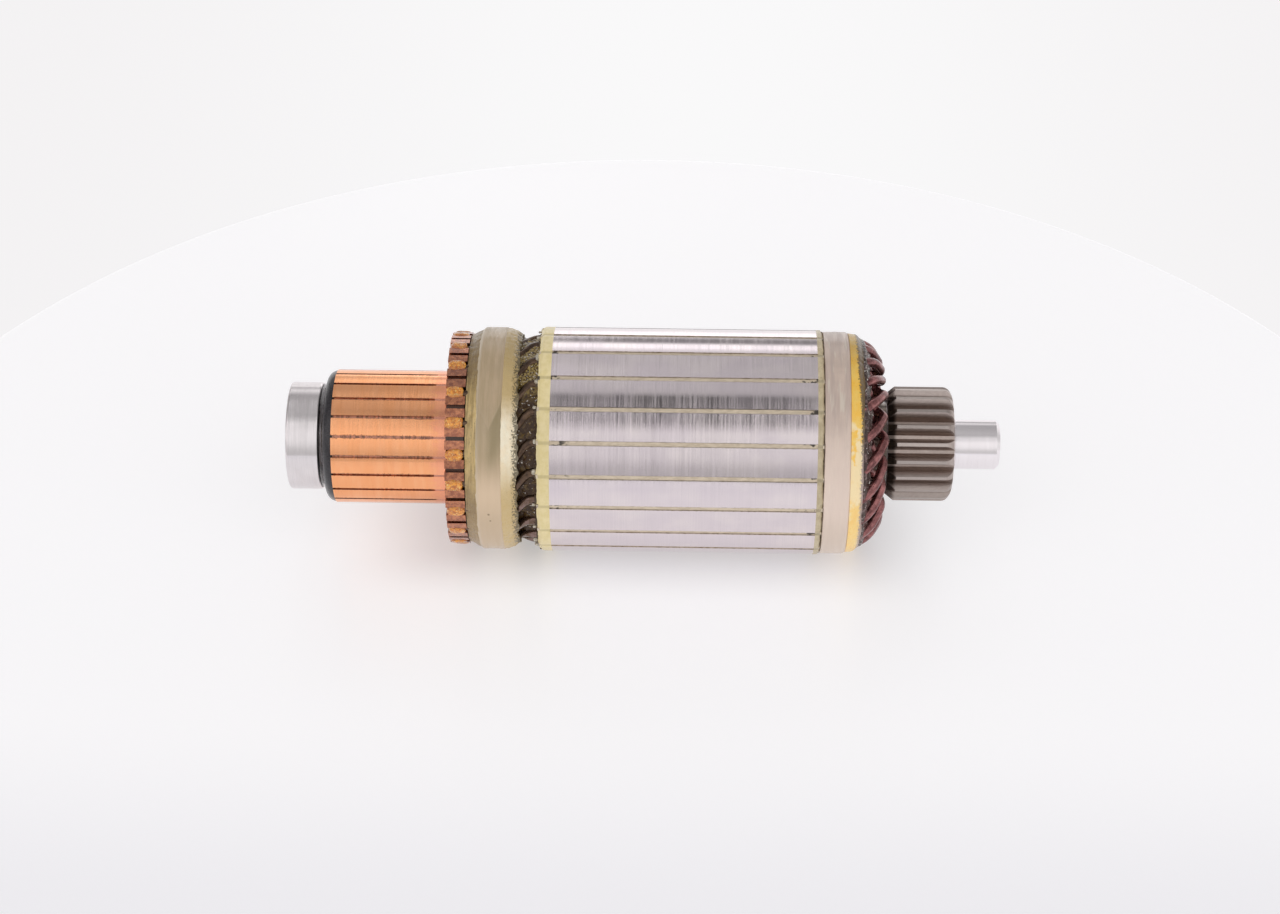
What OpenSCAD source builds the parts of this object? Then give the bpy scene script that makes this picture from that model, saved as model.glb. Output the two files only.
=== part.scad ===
// Armature of a gear-reduction starter motor: wire-wound laminated core on a steel shaft,
// moulded commutator with soldered risers, ball bearing at the rear end, and a sun-gear pinion
// and pilot journal cut on the shaft at the front end.
// The shaft lies along X with the pinion towards +X, and +Z is up. The origin is halfway along
// the armature, on its axis. All sizes are in millimetres and all angles in degrees.

/* [Lengths along the shaft] */
// Stub of the shaft that shows behind the bearing
stub_l = 0.6; // [0.3:0.1:3]
// Gap between the bearing and the commutator hub
hub_gap = 1.0; // [0.3:0.1:2]
// Hub shoulder in front of the copper bars
hub_lip = 2.3; // [1.5:0.1:4]
// Brush track, up to the risers
track_l = 27.9; // [20:0.1:40]
// Risers, along the shaft
riser_b = 4.6; // [3:0.1:8]
// Rear winding head, from the risers to the end fibre
rear_head_l = 16.9; // [14:0.1:26]
// Rear end fibre
rear_fibre_t = 3.1; // [1:0.1:5]
// Laminated core
core_l = 62.7; // [40:0.1:120]
// Front end fibre
front_fibre_t = 1.5; // [1:0.1:5]
// Front winding head, from the end fibre to the pinion
front_head_l = 15.8; // [15:0.1:26]
// Pinion face width
pinion_b = 15.9; // [8:0.1:30]
// Relief groove between pinion and journal
relief_b = 0.7; // [0.4:0.1:2]
// Pilot journal
journal_l = 10.7; // [6:0.1:25]

/* [Shaft] */
// Diameter under the commutator and the core
shaft_d = 16; // [14:0.1:19]
// Diameter of the neck between core and pinion
neck_d = 20; // [16:0.1:21]
// Diameter of the shoulder that the bearing seats against
shoulder_d = 13; // [12:0.1:14]
// Diameter of the pilot journal
journal_d = 12; // [8:0.1:18]
// Depth of the relief groove under the journal's surface
relief_t = 0.5; // [0.2:0.1:1]
// Chamfer on the journal's end
journal_chamfer = 0.85; // [0.3:0.05:1.5]
// Radius of the centre holes in both ends
centre_r = 1.8; // [1:0.1:2.2]
// Depth of the pilot drilling past each centre cone
centre_drill = 2.2; // [1:0.1:4]

/* [Pinion] */
// Number of teeth
teeth = 20; // [14:1:30]
// Gear module
gear_module = 1.25; // [1:0.05:2]
// Pressure angle
pressure_angle = 20; // [14.5:0.5:25]
// Thinning of each tooth for backlash, along the pitch circle
backlash = 0.04; // [0:0.01:0.15]
// Length of the bevel on the teeth at the neck
pinion_rear_bevel = 2.0; // [0.3:0.1:3]
// Length of the rounding on the teeth at the journal
pinion_front_round = 2.3; // [0.3:0.1:3]
// Angle of the first tooth about the shaft
pinion_phase = 1.5; // [0:0.1:25]

/* [Core] */
// Number of slots, commutator bars and hairpins
slots = 21; // [15:2:29]
// Diameter of the core
core_d = 54.1; // [45:0.1:90]
// Angle of the first slot about the shaft
slot_phase = 146.6; // [0:0.1:360]
// Width of a slot's opening
slot_opening = 1.1; // [0.6:0.05:1.6]
// Iron over the slot, at its opening
lip_t = 1.6; // [1:0.1:3]
// Height of the end fibre over the core
fibre_rise = 0.1; // [0:0.05:0.4]
// Slot liner paper
liner_t = 0.2; // [0.1:0.05:0.4]
// Clearance between core, liner and wire
slot_clear = 0.05; // [0.03:0.01:0.1]
// Length of the liner that stands out of each end fibre
liner_cuff = 0.5; // [0.2:0.1:1.5]

/* [Winding] */
// Diameter of the enamelled wire
wire_d = 2.3; // [1.6:0.05:2.6]
// Gap between the outer and the inner wire layer
layer_gap = 0.5; // [0.4:0.05:1]
// Slots that a hairpin spans from one leg to the other
coil_pitch = 5; // [3:1:7]
// Radius of the bend that leans the loops in towards the shaft
lean_r = 4.2; // [3.5:0.1:6]
// Angle that the loops lean in
lean_angle = 60; // [30:1:70]
// Straight part of the loops after that bend
lean_tail = 2; // [0:0.1:3]
// Gap between the loops and the pinion
loop_gap = 0.4; // [0.2:0.1:4]
// Share of each slanting run that is taken up by the bend at one of its ends
bend_share = 0.16; // [0.08:0.02:0.3]
// Thickness of the paper between the layers
layer_paper_t = 0.3; // [0.15:0.05:0.35]

/* [Commutator] */
// Diameter of the brush track
track_d = 32.2; // [26:0.1:44]
// Height of the risers over the outer wire layer
riser_rise = 0.35; // [0.1:0.05:1]
// Angle of the gap between two bars
gap_angle = 2.1; // [1:0.1:4]
// Angle of the bars against a place halfway between two slots
bar_offset = -1.5; // [-4:0.1:4]
// Copper under the brush track
bar_t = 3.6; // [2:0.1:5]
// Depth of the anchor under each bar
anchor_t = 2.3; // [1:0.1:3]
// Undercut of each anchor
anchor_hook = 1.3; // [0.5:0.1:2]
// Undercut of the insulation between the bars
undercut = 0.6; // [0.3:0.05:1.2]
// Length of track in front of the risers that is not undercut
undercut_stop = 3.4; // [1:0.1:6]
// Hub flange behind the risers
hub_flange_t = 1.2; // [0.6:0.1:2]

/* [Bands] */
// Thickness of both glass-fibre bands
band_t = 1.35; // [0.6:0.05:2]
// Width of the rear band
rear_band_b = 6.4; // [4:0.1:9]
// Distance of the rear band from the risers
rear_band_x = 2.3; // [1:0.1:6]
// Width of the front band
front_band_b = 6.8; // [4:0.1:9]
// Paper wrap under the bands
wrap_t = 0.35; // [0.2:0.05:0.6]
// Width of the wrap that shows at the inner side of the rear band
rear_wrap_b = 3.2; // [1:0.1:6]
// Width of the wrap that shows at the front band
front_wrap_b = 2.9; // [1:0.1:4]
// Gap between the wires and what is wound or laid on them
wrap_clear = 0.05; // [0.02:0.01:0.2]

/* [Bearing] */
// Bore of the inner ring
bearing_bore = 10; // [8:1:12]
// Outside diameter of the outer ring
bearing_d = 26; // [22:1:32]
// Width of the rings
bearing_b = 8; // [6:1:10]
// Rounding of the rings' corners
ring_corner = 0.6; // [0.3:0.1:1]
// Number of balls
balls = 7; // [6:1:8]
// Ball diameter
ball_d = 4.762; // [3:0.001:5.6]
// Clearance between a ball and its raceway
race_clear = 0.02; // [0.01:0.01:0.05]
// Clearance between a ball and the cage
pocket_clear = 0.08; // [0.05:0.01:0.2]
// Shield sheet
shield_t = 0.4; // [0.2:0.1:0.6]
// Gap between a shield and the inner ring
shield_gap = 0.15; // [0.1:0.05:0.3]

/* [Hidden] */
$fn = 96;
pitch = 360 / slots;

// Places along the shaft, from the rear end to the front end
total_l = stub_l + bearing_b + hub_gap + hub_lip + track_l + riser_b + rear_head_l
    + rear_fibre_t + core_l + front_fibre_t + front_head_l + pinion_b + relief_b + journal_l;
rear_end_x = -total_l / 2;
bearing_x = rear_end_x + stub_l;
shoulder_x = bearing_x + bearing_b;
hub_x = shoulder_x + hub_gap;
track_x = hub_x + hub_lip;
riser_x = track_x + track_l;
riser_end_x = riser_x + riser_b;
rear_fibre_x = riser_end_x + rear_head_l;
core_x = rear_fibre_x + rear_fibre_t;
core_end_x = core_x + core_l;
fibre_end_x = core_end_x + front_fibre_t;
pinion_x = fibre_end_x + front_head_l;
pinion_end_x = pinion_x + pinion_b;
journal_x = pinion_end_x + relief_b;
front_end_x = journal_x + journal_l;

// Radii of the slot, its liner and the two wire layers
core_r = core_d / 2;
fibre_r = core_r + fibre_rise;
wire_r = wire_d / 2;
slot_w = wire_d + 2 * (liner_t + 2 * slot_clear);
liner_w = slot_w - 2 * slot_clear;
liner_bore = liner_w - 2 * liner_t;
outer_layer_r = core_r - lip_t - slot_w / 2;
inner_layer_r = outer_layer_r - wire_d - layer_gap;
middle_layer_r = (outer_layer_r + inner_layer_r) / 2;
half_step = (outer_layer_r - inner_layer_r) / 2;
winding_r = outer_layer_r + wire_r;

// Shape of a hairpin between the core and the loop
loop_r = half_step + wire_r;
loop_x = pinion_x - loop_gap - loop_r;
lean_x = loop_x - lean_r * sin(lean_angle) - lean_tail * cos(lean_angle);
wire_lead = 0.3;
front_run_x = fibre_end_x + liner_cuff + wire_lead;
straight_run = lean_x - front_run_x;
lean_run = lean_r * lean_angle * PI / 180;
flat_run = straight_run + lean_run + lean_tail;
loop_run = half_step * PI / 2;
front_run = flat_run + loop_run;
half_span = coil_pitch * pitch / 2;
rear_run_x = rear_fibre_x - liner_cuff - wire_lead;
riser_run_x = riser_end_x + 3 * wire_lead;
wire_end_x = riser_x + wire_lead;
wire_sides = 8;

// Commutator
bar_phase = slot_phase + pitch / 2 + bar_offset;
track_r = track_d / 2;
riser_r = winding_r + riser_rise;
bar_in_r = track_r - bar_t;
anchor_r = bar_in_r - anchor_t;
riser_slot_w = wire_d + 2 * slot_clear;
riser_slot_r = inner_layer_r - wire_r - slot_clear;
hub_step = 0.2;
hub_r = track_r - hub_step;
hub_flange_r = riser_slot_r - 1;
fin_step = 0.9;
fin_r = riser_r - fin_step;

// Bands
wrap_in_r = winding_r + wrap_clear;
wrap_r = wrap_in_r + wrap_t;
band_r = wrap_r + band_t;
rear_band_start = riser_end_x + rear_band_x;
rear_band_end = rear_band_start + rear_band_b;
front_band_end = fibre_end_x + front_band_b;
fall_share = 0.4;
paper_gap = 0.1;
layer_paper_end_x = lean_x - 4 * paper_gap;

// Pinion
gear_pitch_r = gear_module * teeth / 2;
gear_tip_r = gear_pitch_r + gear_module;
dedendum = 1.25;
gear_root_r = gear_pitch_r - dedendum * gear_module;
gear_base_r = gear_pitch_r * cos(pressure_angle);
tooth_half = 90 / teeth - backlash / gear_pitch_r * 90 / PI;
root_fillet = 1.6;
bevel_slope = 0.8;
relief_root = 0.5;

// Bearing
bearing_mid = bearing_x + bearing_b / 2;
bore_r = bearing_bore / 2;
bearing_r = bearing_d / 2;
ball_r = ball_d / 2;
ball_pitch_r = (bore_r + bearing_r) / 2;
race_conformity = 1.03;
inner_land = 0.68;
outer_land = 0.96;
seat_depth = 0.3;
race_r = race_conformity * ball_r;
inner_land_r = ball_pitch_r - inner_land * ball_r;
outer_land_r = ball_pitch_r + outer_land * ball_r;
shield_seat_r = outer_land_r + seat_depth;
shield_inset = 0.35;
cage_half_t = 0.6;
cage_gap = 0.15;

function numbered(name, i) = str(name, i < 9 ? "0" : "", i + 1);

// Places what is drawn about Z on the shaft: Z becomes X, and angles count from +Y towards +Z.
module on_shaft() {
    rotate([0, 90, 0]) rotate([0, 0, 90]) children();
}

// A turned solid. The outline's points are [radius, place along the shaft].
module turned() {
    on_shaft() rotate_extrude() children();
}

// A plate cut from an outline that is drawn across the shaft, from one place to another.
module plate(from_x, to_x) {
    on_shaft() translate([0, 0, from_x]) linear_extrude(to_x - from_x) children();
}

// Points of an arc, as [radius, place along the shaft].
function arc(centre, r, from_a, to_a, steps = 6) = [
    for (i = [0:steps])
        let (a = from_a + (to_a - from_a) * i / steps)
        centre + r * [cos(a), sin(a)]
];

// ---- Shaft and pinion ----

// Angle between a flank's point at radius r and the tooth's middle line.
function roll(r) = sqrt(pow(max(r, gear_base_r) / gear_base_r, 2) - 1);
function involute(r) = roll(r) * 180 / PI - atan(roll(r));
function flank_angle(r) = tooth_half + involute(gear_pitch_r) - involute(r);
function on_circle(r, a) = [r * cos(a), r * sin(a)];

// One tooth, from its root fillet up one flank and down the other.
function tooth(a) =
    let (
        steps = 5,
        radii = [for (i = [0:steps]) gear_base_r + (gear_tip_r - gear_base_r) * i / steps]
    )
    concat(
        [on_circle(gear_root_r, a - flank_angle(gear_base_r) - root_fillet)],
        [for (r = radii) on_circle(r, a - flank_angle(r))],
        [for (i = [steps:-1:0]) on_circle(radii[i], a + flank_angle(radii[i]))],
        [on_circle(gear_root_r, a + flank_angle(gear_base_r) + root_fillet)]
    );

module pinion_teeth() {
    points = [for (i = [0:teeth - 1]) each tooth(pinion_phase + i * 360 / teeth)];
    under_root = 0.3;
    rear_r = gear_tip_r - pinion_rear_bevel * bevel_slope;
    front_r = gear_root_r - under_root;
    round_x = pinion_end_x - pinion_front_round;
    intersection() {
        plate(pinion_x - 1, pinion_end_x + 1) polygon(points);
        turned() polygon(concat(
            [[0, pinion_x], [rear_r, pinion_x], [gear_tip_r, pinion_x + pinion_rear_bevel]],
            [for (p = arc([0, 0], 1, 0, 90)) [
                front_r + (gear_tip_r - front_r) * p[0], round_x + pinion_front_round * p[1]
            ]],
            [[0, pinion_end_x]]
        ));
    }
}

module shaft() {
    shaft_r = shaft_d / 2;
    neck_r = neck_d / 2;
    journal_r = journal_d / 2;
    relief_r = journal_r - relief_t;
    shoulder_r = shoulder_d / 2;
    cone_l = centre_r * 1.5;
    drill_r = centre_r * 0.45;
    rear_chamfer = 0.4;
    step_x = hub_x + rear_chamfer;
    neck_x = fibre_end_x + liner_cuff;
    neck_end_x = pinion_end_x - relief_root;
    color("dimgray") union() {
        turned() polygon([
            [0, rear_end_x + cone_l + centre_drill],
            [drill_r, rear_end_x + cone_l + centre_drill],
            [drill_r, rear_end_x + cone_l],
            [centre_r, rear_end_x],
            [bore_r - rear_chamfer, rear_end_x],
            [bore_r, rear_end_x + rear_chamfer],
            [bore_r, shoulder_x],
            [shoulder_r, shoulder_x],
            [shoulder_r, step_x],
            [shaft_r, step_x + (shaft_r - shoulder_r) / 2],
            [shaft_r, neck_x],
            [neck_r, neck_x + neck_r - shaft_r],
            [neck_r, neck_end_x],
            [relief_r, neck_end_x],
            [relief_r, journal_x],
            [journal_r, journal_x],
            [journal_r, front_end_x - journal_chamfer],
            [journal_r - journal_chamfer, front_end_x],
            [centre_r, front_end_x],
            [drill_r, front_end_x - cone_l],
            [drill_r, front_end_x - cone_l - centre_drill],
            [0, front_end_x - cone_l - centre_drill]
        ]);
        pinion_teeth();
    }
}

// ---- Core, end fibre and slot liners ----

// A round-ended slot of the given width around both wire layers, at angle 0.
module slot_outline(w) {
    translate([inner_layer_r, 0]) circle(d = w);
    translate([outer_layer_r, 0]) circle(d = w);
    translate([inner_layer_r, -w / 2]) square([2 * half_step, w]);
}

module every_slot() {
    for (i = [0:slots - 1]) rotate(slot_phase + i * pitch) children();
}

// The stamping's outline: slots that open at the rim through a narrow mouth, and a bore.
module stamping(r) {
    difference() {
        circle(r = r, $fn = 168);
        every_slot() union() {
            slot_outline(slot_w);
            translate([outer_layer_r, -slot_opening / 2]) square([2 * lip_t + wire_d, slot_opening]);
        }
        circle(d = shaft_d);
    }
}

module lamination_core() {
    color("silver") plate(core_x, core_end_x) stamping(core_r);
}

module rear_end_fibre() {
    color("khaki") plate(rear_fibre_x, core_x) stamping(fibre_r);
}

module front_end_fibre() {
    color("darkkhaki") plate(core_end_x, fibre_end_x) stamping(fibre_r);
}

// The paper is wrapped round both wires, and its folded edges stand in the slot's mouth,
// just under the core's surface. The wrapped part stands out of both end fibres as a cuff.
module slot_liners() {
    mouth_w = slot_opening - 2 * slot_clear;
    mouth_depth = 0.25;
    mouth_in_r = outer_layer_r + liner_bore / 2 + liner_t / 2;
    color("wheat") union() {
        plate(rear_fibre_x - liner_cuff, fibre_end_x + liner_cuff) every_slot() difference() {
            slot_outline(liner_w);
            slot_outline(liner_bore);
        }
        plate(rear_fibre_x, fibre_end_x) every_slot() translate([mouth_in_r, -mouth_w / 2])
            square([core_r - mouth_depth - mouth_in_r, mouth_w]);
    }
}

// ---- Hairpins ----

// How far a slanting run has turned, from 0 to 1, with a soft bend at the start and the end.
function eased(u, e) =
    let (slope = 1 / (1 - e))
    u < e ? slope * u * u / (2 * e)
        : u > 1 - e ? 1 - slope * pow(1 - u, 2) / (2 * e)
        : slope * (u - e / 2);

// The same with a bend only at the start.
function started(u, e) =
    let (slope = 1 / (1 - e / 2))
    u < e ? slope * u * u / (2 * e) : slope * (u - e / 2);

// The line midway between the two legs of a loop, after a run from the end fibre:
// [place along the shaft, radius, lean towards the shaft].
function loop_middle(run) =
    let (
        turned_run = min(max(run - straight_run, 0), lean_run),
        tail_run = max(run - straight_run - lean_run, 0),
        lean = turned_run / lean_r * 180 / PI
    )
    [
        front_run_x + min(run, straight_run) + lean_r * sin(lean) + tail_run * cos(lean),
        middle_layer_r - lean_r * (1 - cos(lean)) - tail_run * sin(lean),
        lean
    ];

// A station lies beside that line, on the side that tilt points to. A station is
// [place along the shaft, radius, turn about the shaft, tilt].
function station(middle, tilt, turn) = [
    middle[0] + half_step * cos(tilt), middle[1] + half_step * sin(tilt), turn, tilt
];

// Half a hairpin, from the riser to the middle of the loop. side is 1 for the leg in the
// outer layer and -1 for the leg in the inner layer. The slot of the leg is at turn 0.
function half_hairpin(side) =
    let (
        leg_tilt = side * 90,
        rear_turn = side * half_span + bar_offset,
        rear = [0, 0.07, 0.16, 0.39, 0.61, 0.84, 0.93, 1],
        front = [0, 0.06, 0.14, 0.32, 0.5, 0.62, 0.74, 0.87, 1],
        loop_end = loop_middle(flat_run)
    )
    concat(
        [station([wire_end_x, middle_layer_r], leg_tilt, rear_turn)],
        [for (u = rear) station(
            [riser_run_x + (rear_run_x - riser_run_x) * u, middle_layer_r], leg_tilt,
            rear_turn * (1 - eased(u, bend_share)))],
        [for (u = front)
            let (middle = loop_middle(u * flat_run))
            station(middle, leg_tilt - middle[2],
                -side * half_span * started(u * flat_run / front_run, bend_share))],
        [for (v = [0.4, 0.75])
            let (run = flat_run + v * loop_run)
            station(loop_end, side * 90 * (1 - v) - lean_angle,
                -side * half_span * started(run / front_run, bend_share))]
    );

// Both halves meet in the middle of the loop, which is at turn 0 here.
function whole_hairpin() =
    let (
        outer = half_hairpin(1),
        inner = half_hairpin(-1)
    )
    concat(
        [for (s = outer) s + [0, 0, half_span, 0]],
        [station(loop_middle(flat_run), -lean_angle, 0)],
        [for (i = [len(inner) - 1:-1:0]) inner[i] - [0, 0, half_span, 0]]
    );

function unit(v) = v / norm(v);

// A station as a point in space.
function station_point(s) = [s[0], s[1] * cos(s[2]), s[1] * sin(s[2])];

// The outward side of the wire's path in the plane through the shaft.
function station_side(s) = [
    cos(s[3]), sin(s[3]) * cos(s[2]), sin(s[3]) * sin(s[2])
];

module hairpin() {
    stations = whole_hairpin();
    last = len(stations) - 1;
    centres = [for (s = stations) station_point(s)];
    rings = [
        for (k = [0:last])
            let (
                along = unit(centres[min(last, k + 1)] - centres[max(0, k - 1)]),
                across = unit(cross(along, station_side(stations[k]))),
                out = cross(across, along)
            )
            for (j = [0:wire_sides - 1])
                let (a = (j + 0.5) * 360 / wire_sides)
                centres[k] + wire_r * (cos(a) * out + sin(a) * across)
    ];
    skin = [
        for (k = [0:last - 1])
            for (j = [0:wire_sides - 1])
                let (
                    a = k * wire_sides + j,
                    b = k * wire_sides + (j + 1) % wire_sides
                )
                each [[a, b + wire_sides, b], [a, a + wire_sides, b + wire_sides]]
    ];
    start = [for (j = [0:wire_sides - 1]) j];
    end = [for (j = [wire_sides - 1:-1:0]) last * wire_sides + j];
    polyhedron(rings, concat(skin, [start, end]));
}

module hairpin_at(i) {
    color([0.36, 0.18, 0.18]) rotate([slot_phase + i * pitch - half_span, 0, 0]) hairpin();
}

// ---- Commutator ----

// Inner side of a bar, from the riser to the rear end: a dovetail anchor inside the hub.
anchor_side = [
    [bar_in_r, riser_end_x],
    [bar_in_r, riser_x - anchor_hook],
    [anchor_r, riser_x],
    [anchor_r, track_x + hub_lip],
    [bar_in_r, track_x + hub_lip + anchor_hook],
    [bar_in_r, track_x]
];

// Section of a bar: brush track, riser and anchor.
module bar_section() {
    polygon(concat(
        [[track_r, track_x], [track_r, riser_x], [riser_r, riser_x], [riser_r, riser_end_x]],
        anchor_side
    ));
}

// Turns a section round the shaft over the given angle, centred on an angle about it.
module sector(middle, angle) {
    on_shaft() rotate([0, 0, middle - angle / 2]) rotate_extrude(angle = angle) children();
}

module commutator_bar(i) {
    middle = bar_phase + i * pitch;
    color([0.85, 0.5, 0.32]) difference() {
        sector(middle, pitch - gap_angle) bar_section();
        on_shaft() rotate([0, 0, middle])
            translate([riser_slot_r, -riser_slot_w / 2, riser_x - 1])
            cube([riser_r, riser_slot_w, riser_b + 2]);
    }
}

// The moulding under the bars: a rounded shoulder at the rear, and a flange behind the risers.
module hub_section() {
    shaft_r = shaft_d / 2;
    bore_chamfer = 0.6;
    polygon(concat(
        [[shaft_r, hub_x + bore_chamfer], [shaft_r + bore_chamfer, hub_x]],
        arc([hub_r - hub_lip, track_x], hub_lip, -90, 0, 8),
        [for (i = [len(anchor_side) - 1:-1:0]) anchor_side[i]],
        [
            [hub_flange_r, riser_end_x],
            [hub_flange_r, riser_end_x + hub_flange_t],
            [shaft_r, riser_end_x + hub_flange_t]
        ]
    ));
}

// The moulding between two bars, rooted in the hub and its flange. It is cut back under the
// brush track, up to the risers.
module fin_section() {
    fin_x = riser_x - undercut_stop;
    inset = 0.2;
    full_r = track_r - inset / 4;
    root_r = shaft_d / 2 + 1;
    rear_root_x = track_x - hub_lip / 4;
    front_root_x = riser_end_x + hub_flange_t / 2;
    polygon([
        [root_r, rear_root_x],
        [track_r - undercut, rear_root_x],
        [track_r - undercut, fin_x],
        [full_r, fin_x],
        [full_r, riser_x + inset],
        [fin_r, riser_x + inset],
        [fin_r, riser_end_x - inset],
        [hub_flange_r - inset, riser_end_x - inset],
        [hub_flange_r - inset, front_root_x],
        [root_r, front_root_x]
    ]);
}

module commutator_hub() {
    color([0.08, 0.08, 0.09]) union() {
        turned() hub_section();
        for (i = [0:slots - 1]) sector(bar_phase + (i + 0.5) * pitch, gap_angle) fin_section();
    }
}

// ---- Bands and papers over the winding heads ----

// A resin-bonded glass band on its wrap, with a sloping edge at each side.
module band(from_x, to_x, rear_slope, front_slope) {
    edge_t = 0.25;
    edge_r = wrap_r + edge_t;
    turned() polygon([
        [wrap_r, from_x],
        [edge_r, from_x],
        [band_r, from_x + rear_slope],
        [band_r, to_x - front_slope],
        [edge_r, to_x],
        [wrap_r, to_x]
    ]);
}

module rear_band() {
    rear_slope = 1.1;
    front_slope = 0.7;
    color([0.7, 0.66, 0.52]) band(rear_band_start, rear_band_end, rear_slope, front_slope);
}

module front_band() {
    rear_slope = 0.2;
    front_slope = 0.9;
    color([0.75, 0.7, 0.68]) band(fibre_end_x, front_band_end, rear_slope, front_slope);
}

// A wrap lies under its band from one place to another. Past the band it stands up beside it,
// up to the crest, and thins out towards its own edge.
module band_wrap(from_x, band_end, width, crest) {
    edge_t = 0.15;
    beside_gap = 0.05;
    fall_x = band_end + width * fall_share;
    turned() polygon([
        [wrap_in_r, from_x],
        [wrap_r, from_x],
        [wrap_r, band_end],
        [wrap_r + crest, band_end + beside_gap],
        [wrap_r + crest * fall_share * 2, fall_x],
        [wrap_in_r + edge_t, band_end + width],
        [wrap_in_r, band_end + width]
    ]);
}

module rear_band_wrap() {
    crest = 0.6;
    color([0.87, 0.82, 0.58])
        band_wrap(riser_end_x + 4 * paper_gap, rear_band_end, rear_wrap_b, crest);
}

module front_band_wrap() {
    crest = 0.75;
    from_x = fibre_end_x + liner_cuff + paper_gap;
    color([0.92, 0.77, 0.36]) band_wrap(from_x, front_band_end, front_wrap_b, crest);
}

module layer_paper(from_x, to_x) {
    color([0.8, 0.74, 0.55]) turned() translate([middle_layer_r - layer_paper_t / 2, from_x])
        square([layer_paper_t, to_x - from_x]);
}

module rear_layer_paper() {
    layer_paper(riser_end_x + 3 * paper_gap, rear_fibre_x - liner_cuff - paper_gap);
}

module front_layer_paper() {
    layer_paper(fibre_end_x + liner_cuff + paper_gap, layer_paper_end_x);
}

// ---- Bearing ----

// Section of a ring between two radii, with its two corners rounded on one side.
module ring_section(in_r, out_r, round_out) {
    c = ring_corner;
    lo = bearing_x;
    hi = bearing_x + bearing_b;
    out_side = concat(
        arc([out_r - c, lo + c], c, -90, 0, 4),
        arc([out_r - c, hi - c], c, 0, 90, 4)
    );
    in_side = concat(
        arc([in_r + c, hi - c], c, 90, 180, 4),
        arc([in_r + c, lo + c], c, 180, 270, 4)
    );
    polygon(round_out
        ? concat(out_side, [[in_r, hi], [in_r, lo]])
        : concat([[out_r, lo], [out_r, hi]], in_side));
}

module bearing_outer_ring() {
    groove_r = ball_pitch_r + ball_r + race_clear - race_r;
    seat_t = shield_inset + shield_t;
    color("lightsteelblue") turned() difference() {
        ring_section(outer_land_r, bearing_r, true);
        translate([groove_r, bearing_mid]) circle(r = race_r);
        translate([0, bearing_x - 1]) square([shield_seat_r, seat_t + 1]);
        translate([0, bearing_x + bearing_b - seat_t]) square([shield_seat_r, seat_t + 1]);
    }
}

module bearing_inner_ring() {
    groove_r = ball_pitch_r - ball_r - race_clear + race_r;
    color("lightsteelblue") turned() difference() {
        ring_section(bore_r, inner_land_r, false);
        translate([groove_r, bearing_mid]) circle(r = race_r);
    }
}

module every_ball() {
    on_shaft() translate([0, 0, bearing_mid])
        for (i = [0:balls - 1]) rotate([0, 0, i * 360 / balls])
            translate([ball_pitch_r, 0, 0]) children();
}

module bearing_balls() {
    color("gainsboro") every_ball() sphere(r = ball_r);
}

// A moulded cage: a band with a round pocket for each ball.
module bearing_cage() {
    side_gap = shield_inset + shield_t + cage_gap;
    color("goldenrod") difference() {
        turned() translate([ball_pitch_r - cage_half_t, bearing_x + side_gap])
            square([2 * cage_half_t, bearing_b - 2 * side_gap]);
        every_ball() rotate([0, 90, 0])
            cylinder(r = ball_r + pocket_clear, h = 4 * cage_half_t, center = true);
    }
}

module bearing_shields() {
    in_r = inner_land_r + shield_gap;
    color("slategray") turned() {
        translate([in_r, bearing_x + shield_inset]) square([shield_seat_r - in_r, shield_t]);
        translate([in_r, bearing_x + bearing_b - shield_inset - shield_t])
            square([shield_seat_r - in_r, shield_t]);
    }
}

shaft();
lamination_core();
rear_end_fibre();
front_end_fibre();
slot_liners();
for (i = [0:slots - 1]) {
    hairpin_at(i);
    commutator_bar(i);
}
commutator_hub();
rear_band();
front_band();
rear_band_wrap();
front_band_wrap();
rear_layer_paper();
front_layer_paper();
bearing_outer_ring();
bearing_inner_ring();
bearing_cage();
bearing_balls();
bearing_shields();
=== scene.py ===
"""Looks of a starter motor's armature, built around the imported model.

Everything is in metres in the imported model's frame: X runs along the shaft towards the pinion,
+Z is up, and angles about the shaft count from +Y towards +Z. Lengths below are in millimetres,
and MM turns them into metres where they reach Blender.
"""

import math
import random

import bpy
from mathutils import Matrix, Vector, noise


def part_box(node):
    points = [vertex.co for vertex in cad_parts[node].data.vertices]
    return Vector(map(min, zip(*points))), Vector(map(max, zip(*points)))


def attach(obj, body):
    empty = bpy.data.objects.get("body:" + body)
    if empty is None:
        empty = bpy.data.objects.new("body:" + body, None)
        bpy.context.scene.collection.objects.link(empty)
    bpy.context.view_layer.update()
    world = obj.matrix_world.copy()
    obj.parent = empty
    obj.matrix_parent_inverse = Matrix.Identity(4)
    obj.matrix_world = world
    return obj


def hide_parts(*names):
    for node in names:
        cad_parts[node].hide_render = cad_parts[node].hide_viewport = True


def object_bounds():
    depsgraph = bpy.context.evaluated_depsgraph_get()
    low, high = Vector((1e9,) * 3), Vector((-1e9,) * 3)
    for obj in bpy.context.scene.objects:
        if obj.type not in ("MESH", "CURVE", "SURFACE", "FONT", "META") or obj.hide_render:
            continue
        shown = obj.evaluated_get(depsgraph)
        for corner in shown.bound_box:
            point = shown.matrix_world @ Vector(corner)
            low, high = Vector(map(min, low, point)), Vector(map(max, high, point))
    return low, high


MM = 0.001
TAU = 2 * math.pi

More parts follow.
